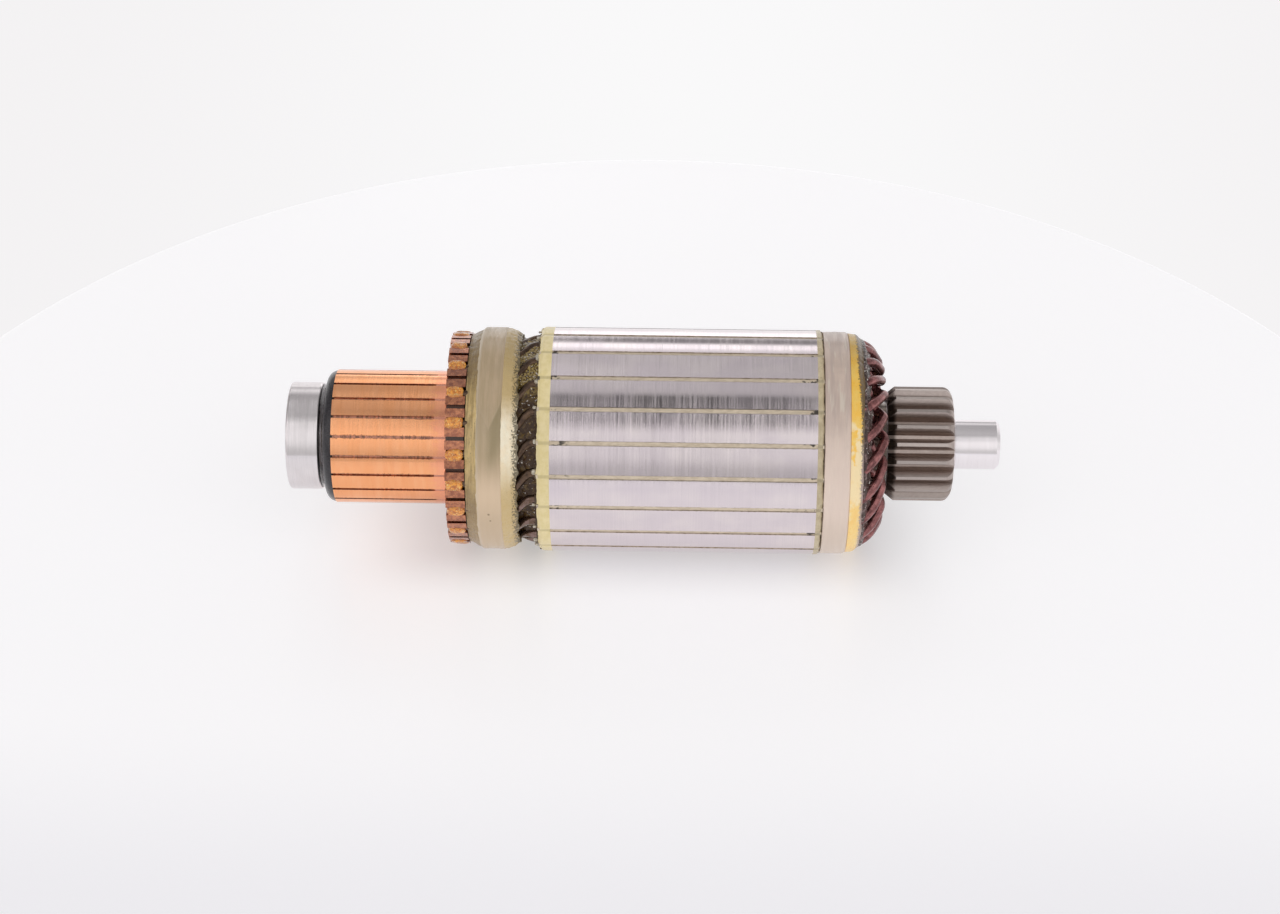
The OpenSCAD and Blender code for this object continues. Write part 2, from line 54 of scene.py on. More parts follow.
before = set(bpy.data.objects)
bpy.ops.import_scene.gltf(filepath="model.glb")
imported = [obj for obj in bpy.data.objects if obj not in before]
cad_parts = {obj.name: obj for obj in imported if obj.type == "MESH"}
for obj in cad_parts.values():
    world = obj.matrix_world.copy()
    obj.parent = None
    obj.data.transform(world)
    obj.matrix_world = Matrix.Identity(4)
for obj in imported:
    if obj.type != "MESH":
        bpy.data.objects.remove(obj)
bpy.context.view_layer.update()
cad_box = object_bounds()


# ---- Sizes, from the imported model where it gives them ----


def span(node):
    """First and last place of a CAD node along the shaft, and its outer radius, in mm."""
    low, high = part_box(node)
    return low.x / MM, high.x / MM, max(high.z, -low.z, high.y, -low.y) / MM


SLOTS = sum(name.startswith("hairpin_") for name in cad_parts)
PITCH = TAU / SLOTS
SLOT_PHASE = math.radians(146.6)
BAR_OFFSET = math.radians(-1.5)
BAR_PHASE = SLOT_PHASE + PITCH / 2 + BAR_OFFSET

CORE_X, CORE_END_X, CORE_R = span("lamination_core")
REAR_FIBRE_X, _, FIBRE_R = span("rear_end_fibre")
_, FIBRE_END_X, _ = span("front_end_fibre")
TRACK_X, RISER_END_X, _ = span("commutator_bar_01")
REAR_BAND_X, REAR_BAND_END_X, BAND_R = span("rear_band")
FRONT_BAND_X, FRONT_BAND_END_X, _ = span("front_band")
REAR_WRAP_X, REAR_WRAP_END_X, _ = span("rear_band_wrap")
FRONT_WRAP_X, FRONT_WRAP_END_X, _ = span("front_band_wrap")

# Sizes inside the solids that no box gives
SHAFT_R = 8.0
RISER_B = 4.6
RISER_X = RISER_END_X - RISER_B
RISER_R = 25.5
TRACK_R = 16.1
UNDERCUT_STOP = 3.4
UNDERCUT_END_X = RISER_X - UNDERCUT_STOP
FRONT_HEAD_L = 15.8
PINION_X = FIBRE_END_X + FRONT_HEAD_L
PINION_B = 15.9
PINION_END_X = PINION_X + PINION_B
GEAR_TIP_R = 13.75
GEAR_ROOT_R = 10.94
WRAP_IN_R = 25.2
WRAP_R = 25.55

# The rear tape reaches a little past its CAD band, and ends in a point; angles in degrees
TAPE_EDGE_X = REAR_BAND_END_X + 0.5
TAPE_TIP_X = (REAR_BAND_X + TAPE_EDGE_X) / 2
TAPE_TIP_TURN = 140.0
TAPE_TIP_SLOPE = 5.0
TAPE_START = 100.0
TAPE_FOOT_R = WRAP_R + 0.15
TAPE_TOP_R = BAND_R - 0.12

# Radii at which the noise round the winding heads is read
HEAD_R = 25.0
REAR_RESIN_R = 23.0
FRONT_RESIN_R = 24.0

# How far out the beads of varnish sit at the rear collar
BEAD_R = 25.6

# The winding, as the solid model has it
WIRE_R = 1.15
OUTER_LAYER_R = 24.0
INNER_LAYER_R = 21.2
MIDDLE_LAYER_R = (OUTER_LAYER_R + INNER_LAYER_R) / 2
HALF_STEP = (OUTER_LAYER_R - INNER_LAYER_R) / 2
LINER_CUFF = 0.5
LEAN_R = 4.2
LEAN_ANGLE = math.radians(60)
LEAN_TAIL = 2.0
LOOP_GAP = 0.4
BEND_SHARE = 0.16
HALF_SPAN = 2.5 * PITCH
WIRE_LEAD = 0.3
WIRE_END_X = RISER_X + WIRE_LEAD
RISER_RUN_X = RISER_END_X + 3 * WIRE_LEAD
REAR_RUN_X = REAR_FIBRE_X - LINER_CUFF - WIRE_LEAD
FRONT_RUN_X = FIBRE_END_X + LINER_CUFF + WIRE_LEAD
LOOP_X = PINION_X - LOOP_GAP - HALF_STEP - WIRE_R
LEAN_X = LOOP_X - LEAN_R * math.sin(LEAN_ANGLE) - LEAN_TAIL * math.cos(LEAN_ANGLE)

# How far the wires sag near the rear end of the core, which the solids leave out
DIP = 0.75
DIP_RUN = 3.5


# ---- Mesh helpers ----


def smoothstep(value, start=0.0, end=1.0):
    """0 before start and 1 past end, with a smooth rise between them; end may come first."""
    t = min(max((value - start) / (end - start), 0.0), 1.0)
    return t * t * (3 - 2 * t)


def rough(x, turn, radius, scale, seed=0.0):
    """Smooth noise from about -1 to 1 at a place on the armature; scale is in mm."""
    return noise.noise(
        Vector((
            x / scale + seed,
            radius * math.cos(turn) / scale,
            radius * math.sin(turn) / scale,
        ))
    )


def add_object(name, vertices, faces, sharp):
    """An object from points in mm, smooth but for its edges above an angle in degrees."""
    mesh = bpy.data.meshes.new(name)
    mesh.from_pydata([[c * MM for c in v] for v in vertices], [], faces)
    mesh.validate()
    mesh.polygons.foreach_set("use_smooth", [True] * len(mesh.polygons))
    mesh.set_sharp_from_angle(angle=math.radians(sharp))
    mesh.update()
    added = bpy.data.objects.new(name, mesh)
    bpy.context.scene.collection.objects.link(added)
    return added


def add_piece(name, vertices, faces, sharp=40):
    """The same for a piece of the armature. All of them turn with the rotor."""
    piece = add_object(name, vertices, faces, sharp)
    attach(piece, "rotor")
    return piece


def sweep_round(name, section, steps=SLOTS * 24):
    """A ring about the shaft. section(turn) gives its closed outline there as (x, radius)."""
    vertices, faces = [], []
    for k in range(steps):
        turn = TAU * k / steps
        outline = section(turn)
        vertices += [(x, r * math.cos(turn), r * math.sin(turn)) for x, r in outline]
    count = len(vertices) // steps
    for k in range(steps):
        here, there = k * count, (k + 1) % steps * count
        for j in range(count):
            after = (j + 1) % count
            faces.append((here + j, here + after, there + after, there + j))
    return add_piece(name, vertices, faces)


def from_slot(turn, phase=SLOT_PHASE):
    """Angle from the nearest slot, or from the nearest copy of another phase."""
    return (turn - phase + PITCH / 2) % PITCH - PITCH / 2


# ---- Hairpins: the solid model's path, with more stations and a round wire ----


def eased(u, share):
    """How far a slanting run has turned, with a soft bend at both of its ends."""
    slope = 1 / (1 - share)
    if u < share:
        return slope * u * u / (2 * share)
    if u > 1 - share:
        return 1 - slope * (1 - u) ** 2 / (2 * share)
    return slope * (u - share / 2)


def started(u, share):
    """The same with a bend only at the start."""
    slope = 1 / (1 - share / 2)
    return slope * u * u / (2 * share) if u < share else slope * (u - share / 2)


def rear_turn(x, side):
    """Angle between a leg's place in the rear winding head and its slot."""
    u = min(max((x - RISER_RUN_X) / (REAR_RUN_X - RISER_RUN_X), 0), 1)
    return side * (HALF_SPAN + side * BAR_OFFSET) * (1 - eased(u, BEND_SHARE))


def rear_dip(x):
    """How far the wires sag towards the shaft between the core and the rear band."""
    return DIP * smoothstep(x, REAR_RUN_X, REAR_RUN_X - DIP_RUN)


class Hairpin:
    """The path of one hairpin. Its lean and reach vary a little, as bent by hand."""

    def __init__(self, lean, reach):
        self.lean = lean
        self.straight = LEAN_X - FRONT_RUN_X + reach
        self.leaning = LEAN_R * lean
        self.flat = self.straight + self.leaning + LEAN_TAIL
        self.run = self.flat + HALF_STEP * math.pi / 2

    def middle(self, run):
        """The line midway between both legs: (x, radius, lean)."""
        turned = min(max(run - self.straight, 0), self.leaning)
        tail = max(run - self.straight - self.leaning, 0)
        lean = turned / LEAN_R
        x = FRONT_RUN_X + min(run, self.straight) + LEAN_R * math.sin(lean)
        r = MIDDLE_LAYER_R - LEAN_R * (1 - math.cos(lean))
        return x + tail * math.cos(lean), r - tail * math.sin(lean), lean

    def half(self, side):
        """Stations (x, radius, turn, tilt) from the riser to the middle of the loop."""
        layer_r = MIDDLE_LAYER_R + side * HALF_STEP
        upright = side * math.pi / 2
        stations = [(WIRE_END_X, layer_r, rear_turn(WIRE_END_X, side), upright)]
        for k in range(17):
            x = RISER_RUN_X + (REAR_RUN_X - RISER_RUN_X) * k / 16
            dip = rear_dip(x)
            if x < REAR_BAND_X:
                dip *= smoothstep(x, RISER_RUN_X, REAR_BAND_X)
            stations.append((x, layer_r - dip, rear_turn(x, side), upright))
        for k in range(21):
            stations.append(self.beside(self.flat * k / 20, upright, side))
        for k in range(1, 7):
            v = k / 7
            run = self.flat + v * HALF_STEP * math.pi / 2
            stations.append(self.beside(run, upright * (1 - v), side, self.flat))
        return stations

    def beside(self, run, tilt, side, middle_run=None):
        """A station half a step from the middle line, in the direction of tilt."""
        x, r, lean = self.middle(run if middle_run is None else middle_run)
        tilt -= lean
        turn = -side * HALF_SPAN * started(run / self.run, BEND_SHARE)
        return x + HALF_STEP * math.cos(tilt), r + HALF_STEP * math.sin(tilt), turn, tilt

    def stations(self):
        """The whole path, from the outer leg's riser to the inner leg's."""
        outer = [(x, r, turn + HALF_SPAN, tilt) for x, r, turn, tilt in self.half(1)]
        inner = [(x, r, turn - HALF_SPAN, tilt) for x, r, turn, tilt in self.half(-1)]
        x, r, lean = self.middle(self.flat)
        top = (x + HALF_STEP * math.cos(lean), r - HALF_STEP * math.sin(lean), 0.0, -lean)
        return outer + [top] + inner[::-1]


def build_hairpin(index, lean, reach):
    """A wire of round section along the path of the hairpin of that number, counted from 0."""
    sides = 14
    turned = SLOT_PHASE + index * PITCH - HALF_SPAN
    stations = Hairpin(lean, reach).stations()
    centres = [
        Vector((x, r * math.cos(turn + turned), r * math.sin(turn + turned)))
        for x, r, turn, _ in stations
    ]
    vertices, faces = [], []
    last = len(stations) - 1
    for k, (x, r, turn, tilt) in enumerate(stations):
        along = (centres[min(last, k + 1)] - centres[max(0, k - 1)]).normalized()
        side = Vector((
            math.cos(tilt),
            math.sin(tilt) * math.cos(turn + turned),
            math.sin(tilt) * math.sin(turn + turned),
        ))
        across = along.cross(side).normalized()
        out = across.cross(along)
        wire_r = WIRE_R * (1 + 0.02 * rough(x, turn + turned, r, 1.3, index))
        for j in range(sides):
            a = TAU * j / sides
            vertices.append(centres[k] + wire_r * (math.cos(a) * out + math.sin(a) * across))
    for k in range(last):
        for j in range(sides):
            a, b = k * sides + j, k * sides + (j + 1) % sides
            faces.append((a, b, b + sides, a + sides))
    faces.append(tuple(range(sides))[::-1])
    faces.append(tuple(last * sides + j for j in range(sides)))
    name = f"hairpin_{index + 1:02d}"
    piece = add_piece(f"{name}_wire", vertices, faces)
    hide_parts(name)
    return piece


# ---- Rings: bands, wraps, end fibres and resin ----


def band_section(from_x, to_x, rear_slope, front_slope, seed, seam=None):
    """Outline of a resin-bonded tape with soft shoulders, lines round it and perhaps a seam."""
    columns = 36
    under_r = WRAP_R - 0.1

    def section(turn):
        outline = []
        for j in range(columns + 1):
            u = j / columns
            x = from_x + (to_x - from_x) * u
            rise = min(
                smoothstep(x, from_x - 0.25 * rear_slope, from_x + rear_slope),
                smoothstep(to_x - x, -0.25 * front_slope, front_slope),
            )
            r = TAPE_FOOT_R + (TAPE_TOP_R - TAPE_FOOT_R) * rise
            r += 0.035 * noise.noise(Vector((x * 2.2 + seed, turn * 0.6, seed)))
            r += 0.06 * rough(x, turn, r, 5.0, seed)
            if seam:
                r += 0.09 * seam(x, turn)
            edge = (2 * abs(u - 0.5)) ** 4
            outline.append((x + 0.12 * rough(x, turn, r, 3.0, seed + 5) * edge, r))
        outline += [(to_x, under_r), (from_x, under_r)]
        return outline

    return section


def rear_tape_end(x, turn):
    """1 on the outer tape layer and 0 past its pointed end, which faces the camera."""
    past = math.degrees(turn) % 360 - TAPE_TIP_TURN + TAPE_TIP_SLOPE * abs(x - TAPE_TIP_X)
    if past < 0:
        return 1.0
    return 1 - smoothstep(past, 0.0, 1.0) + smoothstep(past, TAPE_START, TAPE_START + 4.0)


def rear_wrap_section(turn):
    """Resin-soaked paper: a fillet at the risers, then under the band, then a ragged collar."""
    fillet_r, fillet_rise = 25.1, 1.15
    left = REAR_WRAP_X - 0.25
    ragged = 0.55 * rough(0, turn, HEAD_R, 1.6, 3) + 0.45 * rough(0, turn, HEAD_R, 5.0, 8)
    right = REAR_WRAP_END_X + 0.4 + ragged
    outline = []
    for j in range(13):
        u = j / 12
        x = left + (REAR_BAND_X + 0.7 - left) * u
        r = fillet_r + fillet_rise * smoothstep(u) + 0.22 * rough(x, turn, HEAD_R, 1.4, 1)
        outline.append((x, min(r, BAND_R - 0.2)))
    for j in range(15):
        u = j / 14
        x = TAPE_EDGE_X - 0.4 + (right - TAPE_EDGE_X + 0.4) * u
        r = BAND_R - 0.25 - 0.5 * smoothstep(u, 0.1, 0.55) - 1.05 * smoothstep(u, 0.5, 1.0)
        r += (0.1 + 0.18 * u) * rough(x, turn, HEAD_R, 0.9, 2)
        outline.append((x, r))
    outline += [(right - 0.1, WRAP_IN_R - 1.0), (left, WRAP_IN_R - 1.0)]
    return outline


def front_wrap_section(turn):
    """The yellow ring past the front band, with a wavy edge."""
    wave = 0.3 * rough(0, turn, HEAD_R, 6.0, 11) + 0.15 * rough(0, turn, HEAD_R, 1.5, 12)
    right = FRONT_WRAP_END_X - 0.3 + wave
    under_r = WRAP_R - 0.12
    outline = [(FRONT_WRAP_X, WRAP_IN_R), (FRONT_WRAP_X, under_r), (FRONT_BAND_END_X - 0.6, under_r)]
    for j in range(17):
        u = j / 16
        x = FRONT_BAND_END_X - 0.5 + (right - FRONT_BAND_END_X + 0.5) * u
        r = BAND_R - 0.45 - 0.35 * u - 0.9 * smoothstep(u, 0.55, 1.0)
        r += (0.04 + 0.12 * u) * rough(x, turn, HEAD_R, 1.2, 13)
        outline.append((x, r))
    outline.append((right - 0.1, WRAP_IN_R))
    return outline


def fibre_section(from_x, to_x, free_side, seed, bump):
    """End fibre: a rim with a small joint at each slot and an uneven free edge."""
    joint_b, bore_r, inner_r = 0.55, SHAFT_R + 0.3, 22.0

    def section(turn):
        off = from_slot(turn)
        joint = math.exp(-((FIBRE_R * off / joint_b) ** 2))
        wave = 0.22 * rough(0, turn, FIBRE_R, 2.4, seed) + 0.12 * rough(0, turn, FIBRE_R, 0.8, seed + 1)
        outline = []
        for j in range(15):
            u = j / 14
            x = from_x + (to_x - from_x) * u
            free = u if free_side > 0 else 1 - u
            r = FIBRE_R - 0.06 - 0.55 * smoothstep(free, 0.62, 1.0) ** 2
            r += bump * rough(x, turn, FIBRE_R, 1.1, seed + 2) - 0.16 * joint * (1 - 0.4 * free)
            x += free_side * smoothstep(free, 0.5, 1.0) * (wave - 0.12 + 0.22 * joint)
            outline.append((x, min(r, FIBRE_R - 0.01)))
        first, last = outline[0][0], outline[-1][0]
        outline += [(last, inner_r), (last, bore_r), (first, bore_r), (first, inner_r)]
        return outline

    return section


def rear_resin_section(turn):
    """Resin between the wires, from the rear wrap to the core; it sank low on one side."""
    outline = []
    inner_r, low_r, full_rise, near_rise = 20.4, 23.3, 0.9, 0.7
    slant, wire_b = 0.72, 1.25
    left, right = REAR_WRAP_END_X - 2.2, REAR_FIBRE_X + 0.2
    down = math.degrees(turn) % 360
    full = 1 - smoothstep(down, 150, 172) + smoothstep(down, 240, 290)
    for j in range(25):
        u = j / 24
        x = left + (right - left) * u
        off = from_slot(turn, SLOT_PHASE + rear_turn(x, 1))
        near = math.exp(-((OUTER_LAYER_R * off * slant / wire_b) ** 2))
        r = low_r + full_rise * full - rear_dip(x) * 0.6 + (near_rise - 0.3 * full) * near
        r += 0.3 * rough(x, turn, REAR_RESIN_R, 1.3, 21)
        r += 0.14 * rough(x, turn, REAR_RESIN_R, 0.6, 23)
        climb = smoothstep(x, REAR_FIBRE_X - 1.0, REAR_FIBRE_X + 0.2)
        r += 0.9 * climb * (0.5 + 0.5 * rough(x, turn, REAR_RESIN_R, 2.0, 22))
        outline.append((x, r))
    outline += [(right, inner_r), (left, inner_r)]
    return outline


def front_resin_section(turn):
    """Dark resin that closes the winding head past the yellow ring."""
    outline = []
    left = FRONT_WRAP_END_X - 1.4
    right = FRONT_WRAP_END_X + 1.5 + 0.5 * rough(0, turn, FRONT_RESIN_R, 2.2, 31)
    for j in range(17):
        u = j / 16
        x = left + (right - left) * u
        r = WRAP_IN_R - 0.5 * u - 1.9 * smoothstep(u, 0.55, 1.0)
        r += 0.22 * rough(x, turn, FRONT_RESIN_R, 1.2, 32)
        outline.append((x, r))
    outline += [(right - 0.5, INNER_LAYER_R), (left, INNER_LAYER_R)]
    return outline


# ---- Drops of varnish ----


def drop(vertices, faces, place, turn, radius, half_size, seed, rings=9, around=18):
    """Adds a lumpy drop: half sizes along the shaft, round it and outwards, in mm."""
    first = len(vertices)
    half_x, half_about, half_out = half_size
    out = Vector((0, math.cos(turn), math.sin(turn)))
    tangent = Vector((0, -math.sin(turn), math.cos(turn)))
    centre = Vector((place, 0, 0)) + out * radius
    for k in range(rings + 1):
        down = math.pi * k / rings
        for j in range(around):
            a = TAU * j / around
            # Rounder than a square and fuller than a ball
            square = (abs(math.cos(a)) ** 4 + abs(math.sin(a)) ** 4) ** -0.25
            wide = math.sin(down) ** 0.6 * square if 0 < k < rings else 0.0
            spot = Vector((3 * math.cos(a) + seed, 3 * math.sin(a), 2 * math.cos(down)))
            lump = 1 + 0.16 * noise.noise(spot)
            point = centre + Vector((half_x * wide * lump * math.cos(a), 0, 0))
            point += tangent * half_about * wide * lump * math.sin(a)
            point += out * half_out * math.cos(down) * lump
            vertices.append(point)
    for k in range(rings):
        for j in range(around):
            a, b = first + k * around + j, first + k * around + (j + 1) % around
            faces.append((a, a + around, b + around, b))


def riser_varnish():
    """Amber varnish over both wire ends in every riser."""
    vertices, faces = [], []
    chance = random.Random(5)
    for i in range(SLOTS):
        size = (2.0 + chance.uniform(-0.12, 0.1), 1.4 + chance.uniform(-0.12, 0.12), 0.6)
        place = RISER_X + RISER_B / 2 - 0.05 + chance.uniform(-0.12, 0.12)
        turn = BAR_PHASE + i * PITCH + chance.uniform(-0.004, 0.004)
        drop(vertices, faces, place, turn, RISER_R - 0.2, size, 7.0 * i)
    return add_piece("riser_varnish_drops", vertices, faces, sharp=80)


def collar_beads():
    """Clear beads of varnish where the wires leave the rear end fibre."""
    vertices, faces = [], []
    chance = random.Random(9)
    for i in range(SLOTS):
        for _ in range(chance.choice((1, 1, 2))):
            size = chance.uniform(0.35, 0.75)
            turn = SLOT_PHASE + i * PITCH + chance.uniform(-0.025, 0.03)
            place = REAR_FIBRE_X - chance.uniform(0.1, 0.7)
            half = (size, size * chance.uniform(0.7, 1.1), size * 0.7)
            radius = BEAD_R + chance.uniform(-0.4, 0.5)
            drop(vertices, faces, place, turn, radius, half, 3.0 * i, rings=7, around=12)
    return add_piece("collar_varnish_beads", vertices, faces, sharp=80)


# ---- Shader nodes ----


class Nodes:
    """Adds nodes to a tree. Most calls return the socket that carries the result."""

    def __init__(self, tree):
        self.tree = tree

    def add(self, kind, **settings):
        """A new node itself."""
        node = self.tree.nodes.new(f"ShaderNode{kind}")
        for name, value in settings.items():
            setattr(node, name, value)
        return node

    def put(self, socket, value):
        """Links a socket to a result, or sets it to a number, a vector or a colour."""
        if hasattr(value, "is_linked"):
            self.tree.links.new(value, socket)
        elif socket.type == "RGBA":
            socket.default_value = (*value, 1.0)
        else:
            socket.default_value = value

    def fill(self, node, *values):
        """Puts values into a node's first sockets, and gives its first result."""
        for socket, value in zip(node.inputs, values):
            self.put(socket, value)
        return node.outputs[0]

    def math(self, kind, *values):
        return self.fill(self.add("Math", operation=kind), *values)

    def times(self, a, b):
        return self.math("MULTIPLY", a, b)

    def plus(self, a, b):
        return self.math("ADD", a, b)

    def minus(self, a, b):
        return self.math("SUBTRACT", a, b)

    def length(self, a, b):
        """The long side of a right triangle with sides a and b."""
        return self.math("SQRT", self.plus(self.times(a, a), self.times(b, b)))

    def vector(self, kind, *values):
        return self.fill(self.add("VectorMath", operation=kind), *values)

    def split(self, vector):
        """The three parts of a vector."""
        node = self.add("SeparateXYZ")
        self.fill(node, vector)
        return node.outputs

    def band(self, value, start, end, low=0.0, high=1.0):
        """Smooth step of a value from low to high between start and end."""
        node = self.add("MapRange", interpolation_type="SMOOTHSTEP")
        return self.fill(node, value, start, end, low, high)

    def mix(self, factor, a, b):
        """Colour a where the factor is 0 and b where it is 1, by the node's colour sockets."""
        node = self.add("Mix", data_type="RGBA")
        for number, value in ((0, factor), (6, a), (7, b)):
            self.put(node.inputs[number], value)
        return node.outputs[2]


class Finish(Nodes):
    """A material with one surface shader, and places on the armature in mm."""

    def __init__(self, name, **sockets):
        self.material = bpy.data.materials.new(name)
        self.material.use_nodes = True
        super().__init__(self.material.node_tree)
        self.shader = self.tree.nodes["Principled BSDF"]
        self.out(**sockets)
        in_metres = self.add("TexCoord").outputs["Object"]
        self.place = self.vector("MULTIPLY", in_metres, (1 / MM, 1 / MM, 1 / MM))
        self.x, self.y, self.z = self.split(self.place)

    def out(self, **sockets):
        """Sets the shader's sockets by name, and gives the material."""
        for name, value in sockets.items():
            self.put(self.shader.inputs[name.replace("_", " ")], value)
        return self.material

    def lathe(self, amount):
        """Blurs reflections along the shaft, across the fine grooves that a lathe leaves."""
        along = self.add("CombineXYZ")
        along.inputs[0].default_value = 1.0
        self.out(Tangent=along.outputs[0], Anisotropic=amount)

    def radius(self):
        return self.length(self.y, self.z)

    def turn(self):
        return self.math("ARCTAN2", self.z, self.y)

    def from_copy(self, phase, radius):
        """Distance round the shaft, in mm, from the nearest of the places PITCH apart."""
        turned = self.math("DIVIDE", self.minus(self.turn(), phase), PITCH)
        near = self.minus(turned, self.math("ROUND", turned))
        return self.times(self.math("ABSOLUTE", near), PITCH * radius)

    def down(self):
        """Angle about the shaft in degrees: 90 at the top, 144 facing the camera, 270 below."""
        positive = self.math("MODULO", self.plus(self.turn(), TAU), TAU)
        return self.times(positive, 360 / TAU)

    def noise(self, along, about, detail=3.0, roughness=0.55, seed=0.0):
        """Noise from 0 to 1 whose grain is so many mm along the shaft and about it."""
        scaled = self.vector("MULTIPLY", self.place, (1 / along, 1 / about, 1 / about))
        moved = self.vector("ADD", scaled, (seed, seed, seed))
        node = self.add("TexNoise")
        self.put(node.inputs["Vector"], moved)
        node.inputs["Scale"].default_value = 1.0
        node.inputs["Detail"].default_value = detail
        node.inputs["Roughness"].default_value = roughness
        return node.outputs[0]

    def bump(self, height, distance, normal=None):
        """Relief as deep as the distance in mm, on top of another bump's normal if there is one."""
        node = self.add("Bump")
        node.inputs["Strength"].default_value = 1.0
        node.inputs["Distance"].default_value = distance * MM
        self.put(node.inputs["Height"], height)
        if normal is not None:
            self.put(node.inputs["Normal"], normal)
        return node.outputs[0]


# ---- Materials ----


def turned_steel(name, base, tint, roughness, lines, depth):
    """Steel turned on a lathe: lines so many mm wide and deep, and patches of another tint."""
    f = Finish(name, Metallic=1.0)
    f.lathe(0.7)
    fine = f.noise(lines, 14.0, 4.0, 0.7)
    broad = f.noise(lines * 9, 30.0, 2.0, 0.5, 4.0)
    patch = f.noise(5.0, 5.0, 3.0, 0.5, 9.0)
    shade = f.mix(f.band(patch, 0.35, 0.7), base, tint)
    shade = f.mix(f.band(fine, 0.3, 0.7, 0.0, 0.35), shade, tuple(c * 0.8 for c in base))
    dull = f.band(broad, 0.3, 0.7, roughness * 0.75, roughness * 1.2)
    dull = f.plus(dull, f.band(fine, 0.2, 0.8, -0.03, 0.05))
    normal = f.bump(f.plus(fine, f.times(broad, 0.8)), depth)
    return f.out(Base_Color=shade, Roughness=dull, Normal=normal)


def core_steel():
    """Turned stampings: streaks round the core where the tool's marks are coarser."""
    f = Finish("core_steel", Metallic=1.0)
    f.lathe(0.85)
    fine = f.noise(0.2, 22.0, 4.0, 0.75)
    streak = f.noise(0.45, 18.0, 3.0, 0.7, 6.0)
    broad = f.noise(2.5, 40.0, 3.0, 0.6, 4.0)
    patch = f.noise(9.0, 7.0, 3.0, 0.5, 9.0)
    shade = f.mix(f.band(patch, 0.35, 0.7), (0.72, 0.65, 0.68), (0.77, 0.70, 0.71))
    shade = f.mix(f.band(fine, 0.3, 0.75, 0.0, 0.3), shade, (0.60, 0.54, 0.57))
    slot_edge = f.band(f.from_copy(SLOT_PHASE, CORE_R), 0.56, 0.70, 1.0, 0.0)
    stain = f.band(f.noise(0.9, 0.5, 3.0, 0.6, 2.0), 0.46, 0.62, 0.15, 0.8)
    shade = f.mix(f.times(slot_edge, stain), shade, (0.36, 0.31, 0.25))
    coarse = f.band(streak, 0.35, 0.72, 0.0, 0.11)
    dull = f.plus(coarse, f.band(broad, 0.3, 0.7, 0.05, 0.09))
    dull = f.plus(dull, f.band(fine, 0.3, 0.8, 0.0, 0.04))
    normal = f.bump(f.plus(fine, f.times(streak, 0.8)), 0.006)
    return f.out(Base_Color=shade, Roughness=dull, Normal=normal)


def shaft_steel():
    """Bright ground journal, brown-grey hardened pinion with painted shade and highlights, and painted
    shade on the shaft before it.
    """
    f = Finish("shaft_steel", Metallic=1.0)
    f.lathe(0.5)
    fine = f.noise(0.25, 10.0, 4.0, 0.7)
    gear = f.band(f.x, PINION_X - 0.2, PINION_X + 0.1)
    gear = f.times(gear, f.band(f.x, PINION_END_X - 0.05, PINION_END_X + 0.1, 1.0, 0.0))
    # Painted shade on the shaft in the gap before the pinion
    painted_neck_shade = f.band(f.x, PINION_X - 0.2, PINION_X, 1.0, 0.0)
    # Painted shade: the tooth roots a little darker than the flanks
    depth = f.band(f.radius(), GEAR_ROOT_R - 0.2, GEAR_TIP_R - 0.3)
    mottle = f.noise(0.8, 0.6, 4.0, 0.65, 3.0)
    along = f.noise(3.0, 0.35, 3.0, 0.6, 5.0)
    tooth = f.mix(depth, (0.47, 0.39, 0.35), (0.48, 0.41, 0.38))
    tooth = f.mix(f.band(mottle, 0.35, 0.75, 0.0, 0.45), tooth, (0.32, 0.27, 0.245))
    tooth = f.mix(f.band(along, 0.45, 0.7, 0.0, 0.35), tooth, (0.55, 0.49, 0.46))
    # Painted highlight on the tooth tips
    painted_tip_highlight = f.band(f.radius(), GEAR_TIP_R - 0.12, GEAR_TIP_R - 0.02)
    tooth = f.mix(f.times(painted_tip_highlight, 0.5), tooth, (0.52, 0.47, 0.44))
    # Painted shade on the lower teeth
    tooth = f.mix(f.band(f.down(), 172.0, 190.0, 0.0, 0.3), tooth, (0.22, 0.18, 0.16))
    # Painted shade on the pinion's rear bevel
    rear = f.band(f.x, PINION_X + 1.2, PINION_X + 2.2, 0.9, 0.0)
    tooth = f.mix(rear, tooth, (0.09, 0.07, 0.06))
    bright = f.mix(f.band(fine, 0.3, 0.7, 0.0, 0.3), (0.88, 0.84, 0.86), (0.78, 0.73, 0.75))
    shade = f.mix(gear, bright, tooth)
    shade = f.mix(painted_neck_shade, shade, (0.16, 0.13, 0.11))
    dull = f.plus(f.times(gear, 0.2), f.band(fine, 0.2, 0.8, 0.14, 0.22))
    normal = f.bump(fine, 0.004)
    normal = f.bump(f.times(mottle, gear), 0.03, normal=normal)
    return f.out(Base_Color=shade, Roughness=dull, Normal=normal)


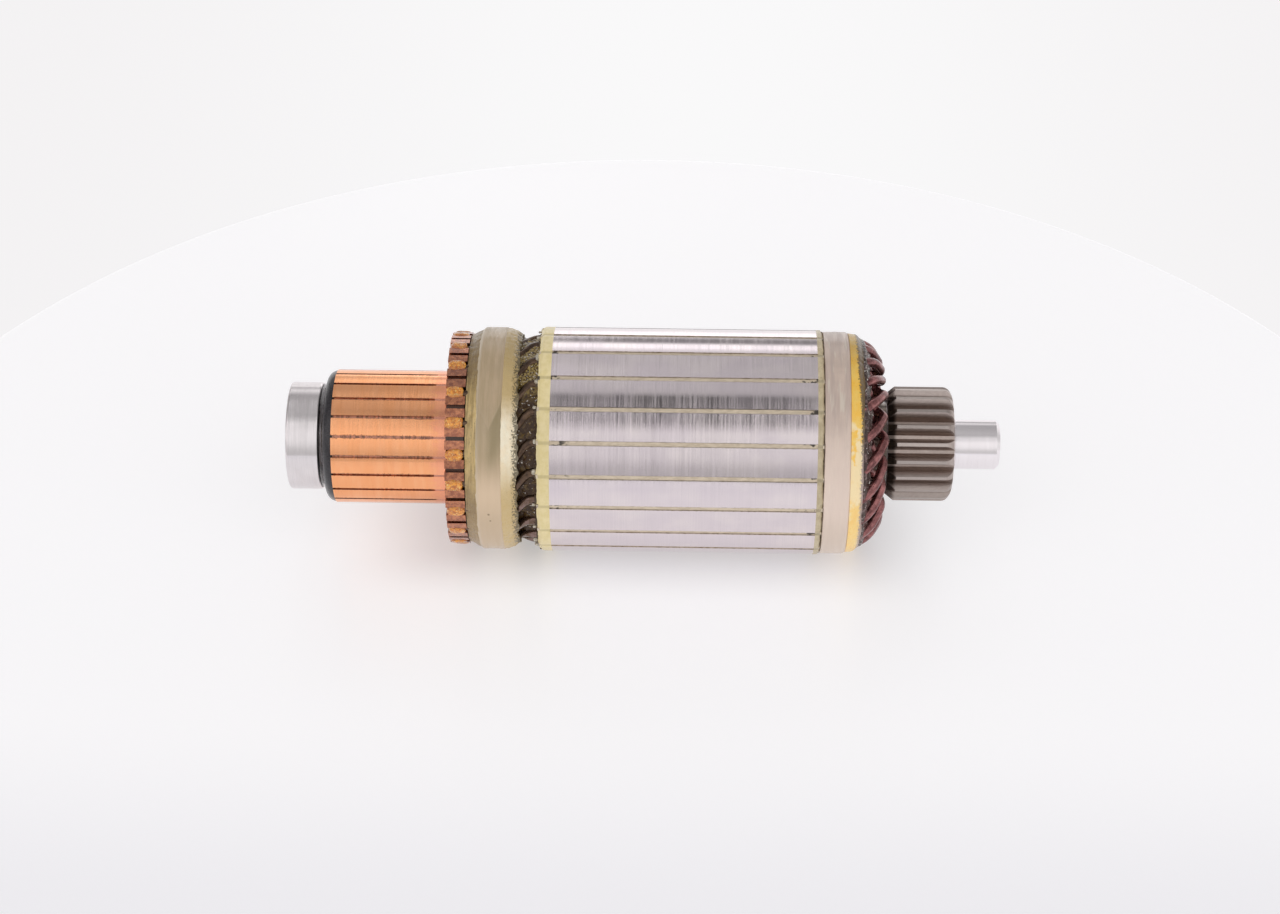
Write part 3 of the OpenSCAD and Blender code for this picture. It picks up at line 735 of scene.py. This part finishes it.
def bar_copper():
    """Turned track with torn edges at the gaps, pinker at its end, varnished risers."""
    f = Finish("bar_copper", Metallic=1.0)
    f.lathe(0.7)
    fine = f.noise(0.25, 9.0, 4.0, 0.75)
    broad = f.noise(2.2, 12.0, 3.0, 0.6, 5.0)
    shade = f.mix(f.band(broad, 0.3, 0.7), (0.95, 0.43, 0.20), (0.98, 0.48, 0.25))
    shade = f.mix(f.band(fine, 0.35, 0.75, 0.0, 0.35), shade, (0.84, 0.33, 0.15))
    cloud = f.noise(1.6, 1.6, 3.0, 0.55, 7.0)
    wavy = f.plus(f.x, f.band(cloud, 0.3, 0.7, -1.2, 1.2))
    pink = f.times(f.band(wavy, UNDERCUT_END_X - 2.0, UNDERCUT_END_X + 2.0), 0.6)
    shade = f.mix(pink, shade, (0.90, 0.36, 0.24))
    cut = f.band(f.x, UNDERCUT_END_X - 1.0, UNDERCUT_END_X + 0.2, 1.0, 0.0)
    tear = f.band(f.noise(0.28, 3.0, 4.0, 0.8, 8.0), 0.35, 0.65, -0.2, 0.26)
    worst = f.band(f.noise(9.0, 5.0, 2.0, 0.5, 3.0), 0.4, 0.6, 0.25, 1.0)
    torn = f.minus(f.from_copy(BAR_PHASE + PITCH / 2, TRACK_R), f.times(tear, worst))
    edge = f.times(f.band(torn, 0.33, 0.42, 1.0, 0.0), cut)
    shade = f.mix(f.times(edge, 0.7), shade, (0.28, 0.11, 0.065))
    riser = f.band(f.x, RISER_X - 0.12, RISER_X + 0.05)
    stain = f.noise(1.1, 0.9, 4.0, 0.6, 6.0)
    copper = f.mix(f.band(stain, 0.35, 0.65), (0.30, 0.10, 0.055), (0.56, 0.22, 0.11))
    shade = f.mix(riser, shade, copper)
    dull = f.plus(f.band(fine, 0.2, 0.8, 0.12, 0.22), f.times(riser, 0.1))
    normal = f.bump(fine, 0.005)
    normal = f.bump(f.times(stain, riser), 0.12, normal=normal)
    f.out(Coat_Weight=f.times(riser, 0.8), Coat_Roughness=0.08)
    return f.out(Base_Color=shade, Roughness=dull, Normal=normal)


def moulding():
    """Glossy black shoulder; between the bars it holds brown dust, and copper past the cut."""
    f = Finish("black_moulding", Coat_Weight=0.35, Coat_Roughness=0.05, Specular_IOR_Level=0.35)
    grain = f.noise(0.5, 0.5, 4.0, 0.6)
    dash = f.noise(0.6, 1.5, 3.0, 0.7, 4.0)
    shade = f.mix(f.band(grain, 0.3, 0.7), (0.012, 0.010, 0.014), (0.03, 0.026, 0.03))
    dust = f.mix(f.band(dash, 0.42, 0.6), (0.80, 0.38, 0.25), (0.32, 0.14, 0.09))
    uncut = f.band(f.x, UNDERCUT_END_X - 0.1, UNDERCUT_END_X + 0.1)
    dust = f.mix(uncut, dust, (0.80, 0.36, 0.24))
    gap = f.band(f.x, TRACK_X + 0.2, TRACK_X + 0.6)
    gap = f.times(gap, f.band(f.x, RISER_X - 0.2, RISER_X, 1.0, 0.0))
    shade = f.mix(gap, shade, dust)
    shade = f.mix(f.band(f.x, RISER_X, RISER_X + 0.1), shade, (0.07, 0.03, 0.018))
    dull = f.band(grain, 0.3, 0.7, 0.2, 0.34)
    return f.out(Base_Color=shade, Roughness=dull, Normal=f.bump(grain, 0.02))


def tape(name, light, dark, streak, seed, marks):
    """Glass tape soaked in resin: fibres round the shaft under a clear gloss, and its marks."""
    f = Finish(name, Coat_Weight=0.4, Coat_Roughness=0.1, IOR=1.5)
    fibres = f.noise(0.16, 9.0, 3.0, 0.7, seed)
    broad = f.noise(1.3, 14.0, 3.0, 0.55, seed + 3)
    cloud = f.noise(5.0, 4.0, 3.0, 0.5, seed + 6)
    shade = f.mix(f.band(broad, 0.3, 0.7), light, dark)
    between = tuple(0.5 * (a + b) * 0.9 for a, b in zip(light, dark))
    shade = f.mix(f.band(cloud, 0.35, 0.7, 0.0, 0.5), shade, between)
    shade = f.mix(f.band(fibres, 0.5, 0.75, 0.0, 0.35), shade, streak)
    shade = marks(f, shade)
    weave = f.plus(f.times(fibres, 0.6), f.times(broad, 0.9))
    normal = f.bump(f.plus(weave, f.times(cloud, 0.5)), 0.06)
    return f.out(Base_Color=shade, Roughness=f.band(broad, 0.3, 0.7, 0.3, 0.5), Normal=normal)


def rear_tape_shade(f, shade):
    """A darker layer past the pointed tape end, both edges and two brown spots, with painted light that
    makes a zone below the middle paler and painted shade at the bottom.
    """
    down = f.down()
    across = f.math("ABSOLUTE", f.minus(f.x, TAPE_TIP_X))
    past = f.plus(f.minus(down, TAPE_TIP_TURN), f.times(across, TAPE_TIP_SLOPE))
    under = f.times(f.band(past, -1.0, 2.0), f.band(past, 14.0, 34.0, 1.0, 0.0))
    right = f.band(f.x, TAPE_TIP_X - 1.2, TAPE_TIP_X + 1.4, 0.15, 1.0)
    shade = f.mix(f.times(f.times(under, right), 0.8), shade, (0.30, 0.235, 0.12))
    # Painted light makes the part below the middle paler, and painted shade darkens the bottom
    shade = f.mix(f.band(down, 152.0, 174.0, 0.0, 0.8), shade, (0.76, 0.58, 0.40))
    shade = f.mix(f.band(down, 174.0, 196.0, 0.0, 0.7), shade, (0.54, 0.41, 0.27))
    pale = f.band(f.x, REAR_BAND_X + 1.3, REAR_BAND_X + 0.4, 0.0, 0.35)
    shade = f.mix(pale, shade, (0.72, 0.66, 0.50))
    dark = f.band(f.x, TAPE_EDGE_X - 0.4, TAPE_EDGE_X - 0.1, 0.0, 0.5)
    shade = f.mix(dark, shade, (0.30, 0.26, 0.27))
    for place, angle, size in ((3.3, 187.0, 0.42), (3.65, 191.5, 0.33)):
        off_x = f.minus(f.x, REAR_BAND_X + place)
        off_turn = f.times(f.minus(down, angle), BAND_R * TAU / 360)
        spot = f.band(f.length(off_x, off_turn), 0.3 * size, size, 0.8, 0.0)
        shade = f.mix(spot, shade, (0.20, 0.13, 0.07))
    return shade


def front_tape_shade(f, shade):
    """Pale streaks where the tape is dry, painted light that makes the lower part paler, and painted shade
    at the bottom.
    """
    dry = f.band(f.noise(0.9, 9.0, 2.0, 0.5, 17.0), 0.56, 0.68, 0.0, 0.6)
    shade = f.mix(dry, shade, (0.76, 0.69, 0.58))
    # Painted light on the lower part, then painted shade at the bottom
    shade = f.mix(f.band(f.down(), 128.0, 165.0, 0.0, 0.75), shade, (0.86, 0.71, 0.61))
    return f.mix(f.band(f.down(), 176.0, 204.0, 0.0, 0.5), shade, (0.58, 0.47, 0.37))


def wrap_paper(name, inner, outer, soaked, seed):
    """Paper soaked with varnish: the material so far, its colour and its specks."""
    f = Finish(name, Coat_Weight=0.3, Coat_Roughness=0.08)
    cloud = f.noise(1.6, 3.0, 4.0, 0.6, seed)
    speck = f.noise(0.45, 0.45, 3.0, 0.6, seed + 2)
    shade = f.mix(f.band(cloud, 0.35, 0.65), inner, outer)
    shade = f.mix(f.band(speck, 0.6, 0.75, 0.0, 0.45), shade, soaked)
    return f, shade, speck


def rear_wrap():
    """Cream paper, yellower above and below its middle, olive at the risers, dark at its edge."""
    f, shade, speck = wrap_paper(
        "cream_wrap", inner=(0.98, 0.84, 0.60), outer=(1.0, 0.91, 0.70), soaked=(0.72, 0.56, 0.30), seed=2.0
    )
    down = f.down()
    yellow = f.math("MAXIMUM", f.band(down, 120.0, 139.0, 1.0, 0.0), f.band(down, 150.0, 180.0))
    shade = f.mix(f.times(yellow, 0.85), shade, (0.56, 0.39, 0.14))
    # Painted shade towards the top
    shade = f.mix(f.band(down, 88.0, 118.0, 0.4, 0.0), shade, (0.34, 0.23, 0.07))
    streak = f.noise(0.35, 5.0, 3.0, 0.6, 9.0)
    olive = f.mix(f.band(streak, 0.4, 0.62), (0.66, 0.48, 0.20), (0.40, 0.28, 0.11))
    # Painted shade towards the top and the bottom of the olive zone
    olive = f.mix(f.band(down, 105.0, 124.0, 0.7, 0.0), olive, (0.16, 0.10, 0.045))
    olive = f.mix(f.band(down, 158.0, 184.0, 0.0, 0.75), olive, (0.26, 0.17, 0.08))
    olive = f.mix(f.band(speck, 0.6, 0.72, 0.0, 0.75), olive, (0.10, 0.07, 0.04))
    shade = f.mix(f.band(f.x, REAR_BAND_X + 0.3, REAR_BAND_X + 0.8, 1.0, 0.0), shade, olive)
    ragged = f.plus(f.x, f.band(speck, 0.3, 0.7, -0.8, 0.8))
    edge = f.band(ragged, REAR_WRAP_END_X - 0.6, REAR_WRAP_END_X)
    shade = f.mix(f.times(edge, 0.85), shade, (0.09, 0.07, 0.035))
    dull = f.band(speck, 0.3, 0.7, 0.25, 0.45)
    return f.out(Base_Color=shade, Roughness=dull, Normal=f.bump(speck, 0.1))


def front_wrap():
    """Yellow paper with painted shade at the top and painted light that makes it paler from its middle
    down, with a dark ragged edge.
    """
    f, shade, speck = wrap_paper(
        "yellow_wrap", inner=(1.0, 0.58, 0.07), outer=(1.0, 0.66, 0.14), soaked=(0.70, 0.44, 0.08), seed=7.0
    )
    down = f.plus(f.down(), f.band(f.noise(3.0, 4.0, 3.0, 0.6, 4.0), 0.3, 0.7, -14.0, 14.0))
    # Painted shade at the top
    shade = f.mix(f.band(f.down(), 78.0, 112.0, 0.6, 0.0), shade, (0.40, 0.26, 0.05))
    # Painted light, paler from the middle down
    pale = f.times(f.band(down, 140.0, 150.0), f.band(down, 172.0, 190.0, 1.0, 0.35))
    shade = f.mix(f.times(pale, 0.8), shade, (1.0, 0.85, 0.55))
    dark = f.mix(f.band(f.down(), 140.0, 160.0), (0.07, 0.045, 0.03), (0.34, 0.25, 0.25))
    ragged = f.plus(f.x, f.band(speck, 0.3, 0.7, -0.35, 0.35))
    ragged = f.plus(ragged, f.band(f.down(), 100.0, 135.0, 0.8, 0.0))
    edge = f.band(ragged, FRONT_WRAP_END_X - 1.1, FRONT_WRAP_END_X - 0.7)
    shade = f.mix(f.times(edge, 0.9), shade, dark)
    dull = f.band(speck, 0.3, 0.7, 0.25, 0.45)
    return f.out(Base_Color=shade, Roughness=dull, Normal=f.bump(speck, 0.05))


def fibre(name, light, dark, seed, crumbs):
    """Varnished end fibre with dark crumbs, a darker joint at every slot and painted shade from the middle
    down.
    """
    f = Finish(name, Coat_Weight=0.4, Coat_Roughness=0.15)
    cloud = f.noise(1.4, 1.8, 4.0, 0.6, seed)
    speck = f.noise(0.4, 0.4, 4.0, 0.65, seed + 1)
    shade = f.mix(f.band(cloud, 0.35, 0.65), light, dark)
    shade = f.mix(f.band(speck, 0.58, 0.7, 0.0, crumbs), shade, tuple(c * 0.45 for c in dark))
    # Painted shade, darker from the middle down
    shade = f.mix(f.band(f.down(), 108.0, 145.0, 0.0, 0.2), shade, tuple(c * 0.3 for c in dark))
    joint = f.band(f.from_copy(SLOT_PHASE, FIBRE_R), 0.2, 0.6, 0.5, 0.0)
    shade = f.mix(joint, shade, tuple(c * 0.5 for c in dark))
    dull = f.band(speck, 0.3, 0.7, 0.35, 0.55)
    return f.out(Base_Color=shade, Roughness=dull, Normal=f.bump(speck, 0.05 + 0.1 * crumbs))


def liner():
    """Varnished paper in the slot mouths, with dark places near both ends of the core."""
    f = Finish("liner_paper", Coat_Weight=0.3, Coat_Roughness=0.2)
    grain = f.noise(1.6, 0.5, 4.0, 0.6, 1.0)
    shade = f.mix(f.band(grain, 0.35, 0.65), (0.74, 0.63, 0.48), (0.60, 0.50, 0.37))
    to_end = f.math("MINIMUM", f.minus(f.x, CORE_X), f.minus(CORE_END_X, f.x))
    patch = f.band(f.noise(2.6, 2.0, 3.0, 0.6, 5.0), 0.52, 0.6)
    # Dark patches near both ends of the core
    dark_place = f.times(f.band(to_end, 2.5, 5.5, 1.0, 0.0), patch)
    shade = f.mix(dark_place, shade, (0.05, 0.04, 0.03))
    cuff = f.band(f.x, REAR_FIBRE_X, REAR_FIBRE_X + 0.1, 1.0, 0.0)
    shade = f.mix(cuff, shade, (0.09, 0.06, 0.035))
    return f.out(Base_Color=shade, Roughness=0.6, Normal=f.bump(grain, 0.06))


def enamel():
    """Enamelled wire: dark red at the front, browner in the rear winding head, with painted light on its
    lower side there.
    """
    f = Finish("enamelled_wire", Coat_Weight=0.35, Coat_Roughness=0.04, Metallic=0.85)
    streak = f.noise(1.8, 1.8, 4.0, 0.6, 1.0)
    speck = f.noise(0.5, 0.5, 3.0, 0.6, 4.0)
    shade = f.mix(f.band(streak, 0.3, 0.7), (0.12, 0.04, 0.04), (0.38, 0.15, 0.145))
    rear = f.band(f.x, REAR_FIBRE_X, CORE_X, 1.0, 0.0)
    # Painted light: the rear wires paler and lilac from below the middle down
    painted_light_below = f.band(f.down(), 165.0, 185.0)
    brown = f.mix(painted_light_below, (0.055, 0.03, 0.018), (0.24, 0.155, 0.14))
    brown = f.mix(f.band(streak, 0.35, 0.65), brown, (0.12, 0.07, 0.04))
    shade = f.mix(rear, shade, brown)
    dull = f.band(speck, 0.3, 0.7, 0.16, 0.3)
    return f.out(Base_Color=shade, Roughness=dull, Normal=f.bump(speck, 0.03))


def resin(name, dark, light, seed, top):
    """Dark varnish between the wires, with painted glints, a few more at the top, and another colour at the
    top.
    """
    f = Finish(name, Coat_Weight=0.2, Coat_Roughness=0.02, Specular_IOR_Level=0.25)
    cloud = f.noise(1.1, 1.1, 4.0, 0.6, seed)
    speck = f.noise(0.5, 0.5, 3.0, 0.65, seed + 2)
    painted_glint = f.noise(0.55, 0.55, 2.0, 0.5, seed + 5)
    shade = f.mix(f.band(cloud, 0.48, 0.7), dark, light)
    high = f.band(f.down(), 105.0, 128.0, 1.0, 0.0)
    shade = f.mix(f.times(high, f.band(speck, 0.42, 0.58, 0.0, 0.85)), shade, top)
    # Painted highlights: pale glints, a few more of them at the top
    painted_glint = f.plus(painted_glint, f.times(high, 0.05))
    shade = f.mix(f.band(painted_glint, 0.665, 0.70, 0.0, 0.85), shade, (0.80, 0.76, 0.72))
    return f.out(Base_Color=shade, Roughness=0.16, Normal=f.bump(speck, 0.22))


def amber():
    """Amber varnish with painted glints, darker away from the middle of each riser."""
    f = Finish("riser_varnish", Coat_Weight=1.0, Coat_Roughness=0.03)
    cloud = f.noise(0.7, 0.7, 4.0, 0.65, 2.0)
    painted_glint = f.noise(0.35, 0.35, 3.0, 0.6, 12.0)
    depth = f.band(f.from_copy(BAR_PHASE, RISER_R), 0.5, 1.4)
    shade = f.mix(f.band(cloud, 0.38, 0.6), (1.0, 0.40, 0.03), (0.60, 0.16, 0.01))
    # Painted glints: bright yellow spots on the varnish
    shade = f.mix(f.band(painted_glint, 0.57, 0.64, 0.0, 0.9), shade, (1.0, 0.80, 0.26))
    shade = f.mix(f.times(depth, 0.5), shade, (0.34, 0.09, 0.015))
    return f.out(Base_Color=shade, Roughness=0.16, Normal=f.bump(f.plus(cloud, painted_glint), 0.22))


def clear_varnish():
    """The beads of varnish at the rear collar, pale and glossy."""
    f = Finish("clear_varnish", Coat_Weight=1.0, Coat_Roughness=0.03)
    cloud = f.noise(0.7, 0.7, 3.0, 0.6)
    shade = f.mix(f.band(cloud, 0.35, 0.65), (0.66, 0.62, 0.52), (0.36, 0.30, 0.22))
    return f.out(Base_Color=shade, Roughness=0.12, Normal=f.bump(cloud, 0.05))


def moulded(name, light, dark):
    """Moulded plastic with a fine grain."""
    f = Finish(name)
    grain = f.noise(0.6, 0.6, 4.0, 0.6)
    shade = f.mix(f.band(grain, 0.3, 0.7), light, dark)
    dull = f.band(grain, 0.3, 0.7, 0.4, 0.55)
    return f.out(Base_Color=shade, Roughness=dull, Normal=f.bump(grain, 0.02))


# ---- Studio ----


def make_world():
    """Soft light by its angle about the shaft's line: 0 is level, on the camera's side, and 90 up.

    The lights are fitted to the bands that the photo shows on the steel and the copper. They
    change with x, the part of a direction that points along the shaft: the middle lights are
    mirrored by the core, the near side ones by the copper, and the side ones by both ends.
    """
    world = bpy.data.worlds.new("studio")
    bpy.context.scene.world = world
    world.use_nodes = True
    w = Nodes(world.node_tree)
    x, y, z = w.split(w.add("TexCoord").outputs["Generated"])
    around = w.math("MULTIPLY_ADD", w.math("ARCTAN2", z, w.times(y, -1.0)), 1 / TAU, 0.5)

    def lights(stops):
        node = w.add("ValToRGB")
        ramp = node.color_ramp
        ramp.interpolation = "LINEAR"
        while len(ramp.elements) < len(stops):
            ramp.elements.new(0.5)
        for element, (degrees, level) in zip(ramp.elements, stops):
            element.position = (degrees + 180) / 360
            element.color = (level, level * 0.985, level * 0.985, 1)
        return w.fill(node, around)

    middle = lights([
        (-180, 1.5), (-170, 1.0), (-20, 0.9), (-9, 0.62), (0, 0.47), (8, 0.6), (18, 0.82),
        (42, 0.86), (46, 0.7), (50, 0.4), (54, 0.16), (60, 0.1), (66, 0.09), (80, 0.1), (85, 0.52),
        (90, 0.62), (130, 0.64), (139, 0.64), (142, 0.9), (145, 1.5), (151, 1.5), (155, 0.5),
        (157, 0.3), (162, 0.26), (165, 0.6), (168, 1.5), (172, 1.7), (180, 1.5),
    ])
    side = lights([
        (-180, 1.0), (-120, 0.85), (-18, 0.88), (-8, 0.66), (2, 0.72), (14, 0.9), (27, 1.05),
        (63, 1.08), (72, 0.8), (80, 0.6), (92, 0.46), (110, 0.38), (132, 0.36), (140, 0.6),
        (147, 0.8), (155, 0.5), (161, 0.42), (170, 0.95), (180, 1.0),
    ])
    near_side = lights([
        (-180, 1.0), (-120, 0.9), (-18, 0.92), (-8, 0.75), (2, 0.8), (14, 0.98), (27, 1.1),
        (60, 1.1), (67, 0.58), (76, 0.56), (92, 0.8), (102, 1.05), (112, 1.1), (122, 0.72),
        (132, 0.64), (140, 1.1), (148, 1.4), (156, 1.2), (161, 0.9), (164, 1.8), (168, 1.8),
        (171, 0.9), (180, 1.0),
    ])

    # The rear half of the core mirrors a dimmer part of the light
    rise, fall, rear_half = (0.5, 0.52), (0.63, 0.65), (-0.035, 0.005)
    dim = w.times(w.band(around, *rise), w.band(around, *fall, 1.0, 0.0))
    dim = w.times(dim, w.band(x, *rear_half, 0.22, 0.0))
    middle = w.mix(dim, middle, (0.0, 0.0, 0.0))
    to_near_side, to_rear, to_front = (-0.075, -0.055), (-0.13, -0.122), (0.045, 0.075)
    mixed = w.mix(w.band(x, *to_near_side, 1.0, 0.0), middle, near_side)
    mixed = w.mix(w.band(x, *to_rear, 1.0, 0.0), mixed, side)
    mixed = w.mix(w.band(x, *to_front), mixed, side)

    # The camera itself sees a plain pale ground
    outward = w.band(w.math("ABSOLUTE", x), 0.0, 0.24)
    plain = w.mix(outward, (0.95, 0.945, 0.95), (0.905, 0.89, 0.897))
    seen = w.add("LightPath").outputs["Is Camera Ray"]
    background = w.tree.nodes["Background"]
    w.put(background.inputs["Color"], w.mix(seen, mixed, plain))
    w.put(background.inputs["Strength"], 1.0)


def make_turntable():
    """A round white table that the armature lies on."""
    top = cad_box[0].z / MM
    radius, edge, thick, centre_y = 207.0, 1.5, 12.0, -25.0
    outline = [(0.0, top)]
    for k in range(7):
        a = math.pi / 2 * k / 6
        outline.append((radius - edge + edge * math.sin(a), top - edge + edge * math.cos(a)))
    outline.append((radius, top - thick))
    outline.append((0.0, top - thick))
    steps, count = 192, len(outline)
    vertices, faces = [], []
    for k in range(steps):
        a = TAU * k / steps
        vertices += [(r * math.cos(a), centre_y + r * math.sin(a), z) for r, z in outline]
    for k in range(steps):
        here, there = k * count, (k + 1) % steps * count
        for j in range(count - 1):
            faces.append((here + j, here + j + 1, there + j + 1, there + j))
    table = add_object("turntable", vertices, faces, sharp=30)
    table.data.materials.append(white_table())


def white_table():
    """White that glows, a little less near the camera, with a painted soft shadow where the armature lies
    on it.
    """
    f = Finish("white_table", IOR=1.45)
    glow = f.mix(f.band(f.y, -70.0, -140.0), (0.995, 0.99, 1.0), (0.84, 0.835, 0.87))
    # How dark the painted shadow is, and where it starts to fade and ends
    depth, beside, along = 0.32, (8.0, 30.0), (45.0, 75.0)
    shadow = f.band(f.math("ABSOLUTE", f.y), *beside, depth, 0.0)
    shadow = f.times(shadow, f.band(f.math("ABSOLUTE", f.x), *along, 1.0, 0.0))
    glow = f.mix(shadow, glow, (0.02, 0.0, 0.0))
    f.out(Emission_Color=glow, Emission_Strength=0.57)
    return f.out(Base_Color=(0.52, 0.515, 0.53), Roughness=0.35)


def make_camera():
    """The photograph's view: well above the shaft and a little round to the pinion's side."""
    azimuth, elevation, distance = math.radians(1.36), math.radians(36.0), 703.0
    to_left, to_bottom = 0.75, 4.15
    back = Vector((
        math.sin(azimuth) * math.cos(elevation),
        -math.cos(azimuth) * math.cos(elevation),
        math.sin(elevation),
    ))
    right = Vector((0, 0, 1)).cross(back).normalized()
    up = back.cross(right)
    target = (cad_box[0] + cad_box[1]) / 2 - right * to_left * MM - up * to_bottom * MM
    data = bpy.data.cameras.new("camera")
    data.lens, data.sensor_width = 81.6, 36.0
    data.clip_start, data.clip_end = 0.01, 20.0
    camera = bpy.data.objects.new("camera", data)
    camera.location = target + back * distance * MM
    camera.rotation_euler = (-back).to_track_quat("-Z", "Y").to_euler()
    bpy.context.scene.collection.objects.link(camera)
    bpy.context.scene.camera = camera


# ---- Build ----


def finish_all(material, *objects):
    """Gives objects their material."""
    for obj in objects:
        if obj.data.materials:
            obj.data.materials[0] = material
        else:
            obj.data.materials.append(material)


make_camera()
make_world()
make_turntable()
bpy.context.scene.view_settings.view_transform = "Standard"

chance = random.Random(21)
wires = [
    build_hairpin(i, LEAN_ANGLE + math.radians(chance.uniform(-6, 5)), chance.uniform(-0.5, 0.45))
    for i in range(SLOTS)
]
rear_band = sweep_round(
    "rear_band_tape",
    band_section(REAR_BAND_X, TAPE_EDGE_X, rear_slope=1.3, front_slope=0.8, seed=2.0, seam=rear_tape_end),
)
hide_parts("rear_band")
front_band = sweep_round(
    "front_band_tape",
    band_section(FRONT_BAND_X, FRONT_BAND_END_X, rear_slope=0.25, front_slope=1.3, seed=6.0),
)
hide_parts("front_band")
rear_paper = sweep_round("rear_wrap_paper", rear_wrap_section)
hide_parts("rear_band_wrap")
front_paper = sweep_round("front_wrap_paper", front_wrap_section)
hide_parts("front_band_wrap")
rear_collar = sweep_round(
    "rear_end_collar",
    fibre_section(REAR_FIBRE_X, CORE_X, free_side=-1, seed=1.0, bump=0.05),
)
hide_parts("rear_end_fibre")
front_collar = sweep_round(
    "front_end_collar",
    fibre_section(CORE_END_X, FIBRE_END_X, free_side=1, seed=5.0, bump=0.09),
)
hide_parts("front_end_fibre")
fine = SLOTS * 36
rear_resin = sweep_round("rear_head_resin", rear_resin_section, steps=fine)
front_resin = sweep_round("front_head_resin", front_resin_section, steps=fine)
drops = riser_varnish()
beads = collar_beads()

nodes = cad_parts
finish_all(enamel(), *wires)
finish_all(
    tape(
        "glass_tape_rear", light=(0.56, 0.42, 0.27), dark=(0.45, 0.34, 0.20), streak=(0.66, 0.54, 0.38),
        seed=1.0, marks=rear_tape_shade,
    ),
    rear_band,
)
finish_all(
    tape(
        "glass_tape_front", light=(0.70, 0.56, 0.47), dark=(0.54, 0.43, 0.38), streak=(0.82, 0.70, 0.58),
        seed=5.0, marks=front_tape_shade,
    ),
    front_band,
)
finish_all(rear_wrap(), rear_paper)
finish_all(front_wrap(), front_paper)
finish_all(
    fibre("pale_fibre", light=(0.98, 0.83, 0.46), dark=(0.90, 0.75, 0.36), seed=2.0, crumbs=0.12),
    rear_collar,
)
finish_all(
    fibre("olive_fibre", light=(0.70, 0.59, 0.38), dark=(0.56, 0.46, 0.28), seed=6.0, crumbs=0.6),
    front_collar,
)
finish_all(
    resin(
        "rear_resin", dark=(0.048, 0.022, 0.008), light=(0.16, 0.10, 0.03), seed=3.0,
        top=(0.46, 0.34, 0.11),
    ),
    rear_resin,
)
finish_all(
    resin(
        "front_resin", dark=(0.06, 0.036, 0.03), light=(0.26, 0.17, 0.165), seed=8.0,
        top=(0.045, 0.028, 0.018),
    ),
    front_resin,
)
finish_all(amber(), drops)
finish_all(clear_varnish(), beads)
finish_all(core_steel(), nodes["lamination_core"])
finish_all(shaft_steel(), nodes["shaft"])
finish_all(bar_copper(), *(o for n, o in nodes.items() if n.startswith("commutator_bar_")))
finish_all(moulding(), nodes["commutator_hub"])
finish_all(liner(), nodes["slot_liners"], nodes["rear_layer_paper"], nodes["front_layer_paper"])
finish_all(
    turned_steel(
        "bearing_steel", base=(0.74, 0.70, 0.71), tint=(0.80, 0.76, 0.77), roughness=0.2, lines=0.3,
        depth=0.006,
    ),
    nodes["bearing_outer_ring"],
    nodes["bearing_inner_ring"],
)
finish_all(
    turned_steel(
        "ball_steel", base=(0.80, 0.78, 0.79), tint=(0.84, 0.82, 0.82), roughness=0.1, lines=0.8,
        depth=0.002,
    ),
    nodes["bearing_balls"],
)
finish_all(
    turned_steel(
        "shield_steel", base=(0.55, 0.53, 0.54), tint=(0.62, 0.60, 0.60), roughness=0.3, lines=0.5,
        depth=0.008,
    ),
    nodes["bearing_shields"],
)
finish_all(
    moulded("cage_plastic", light=(0.62, 0.50, 0.28), dark=(0.54, 0.43, 0.23)),
    nodes["bearing_cage"],
)
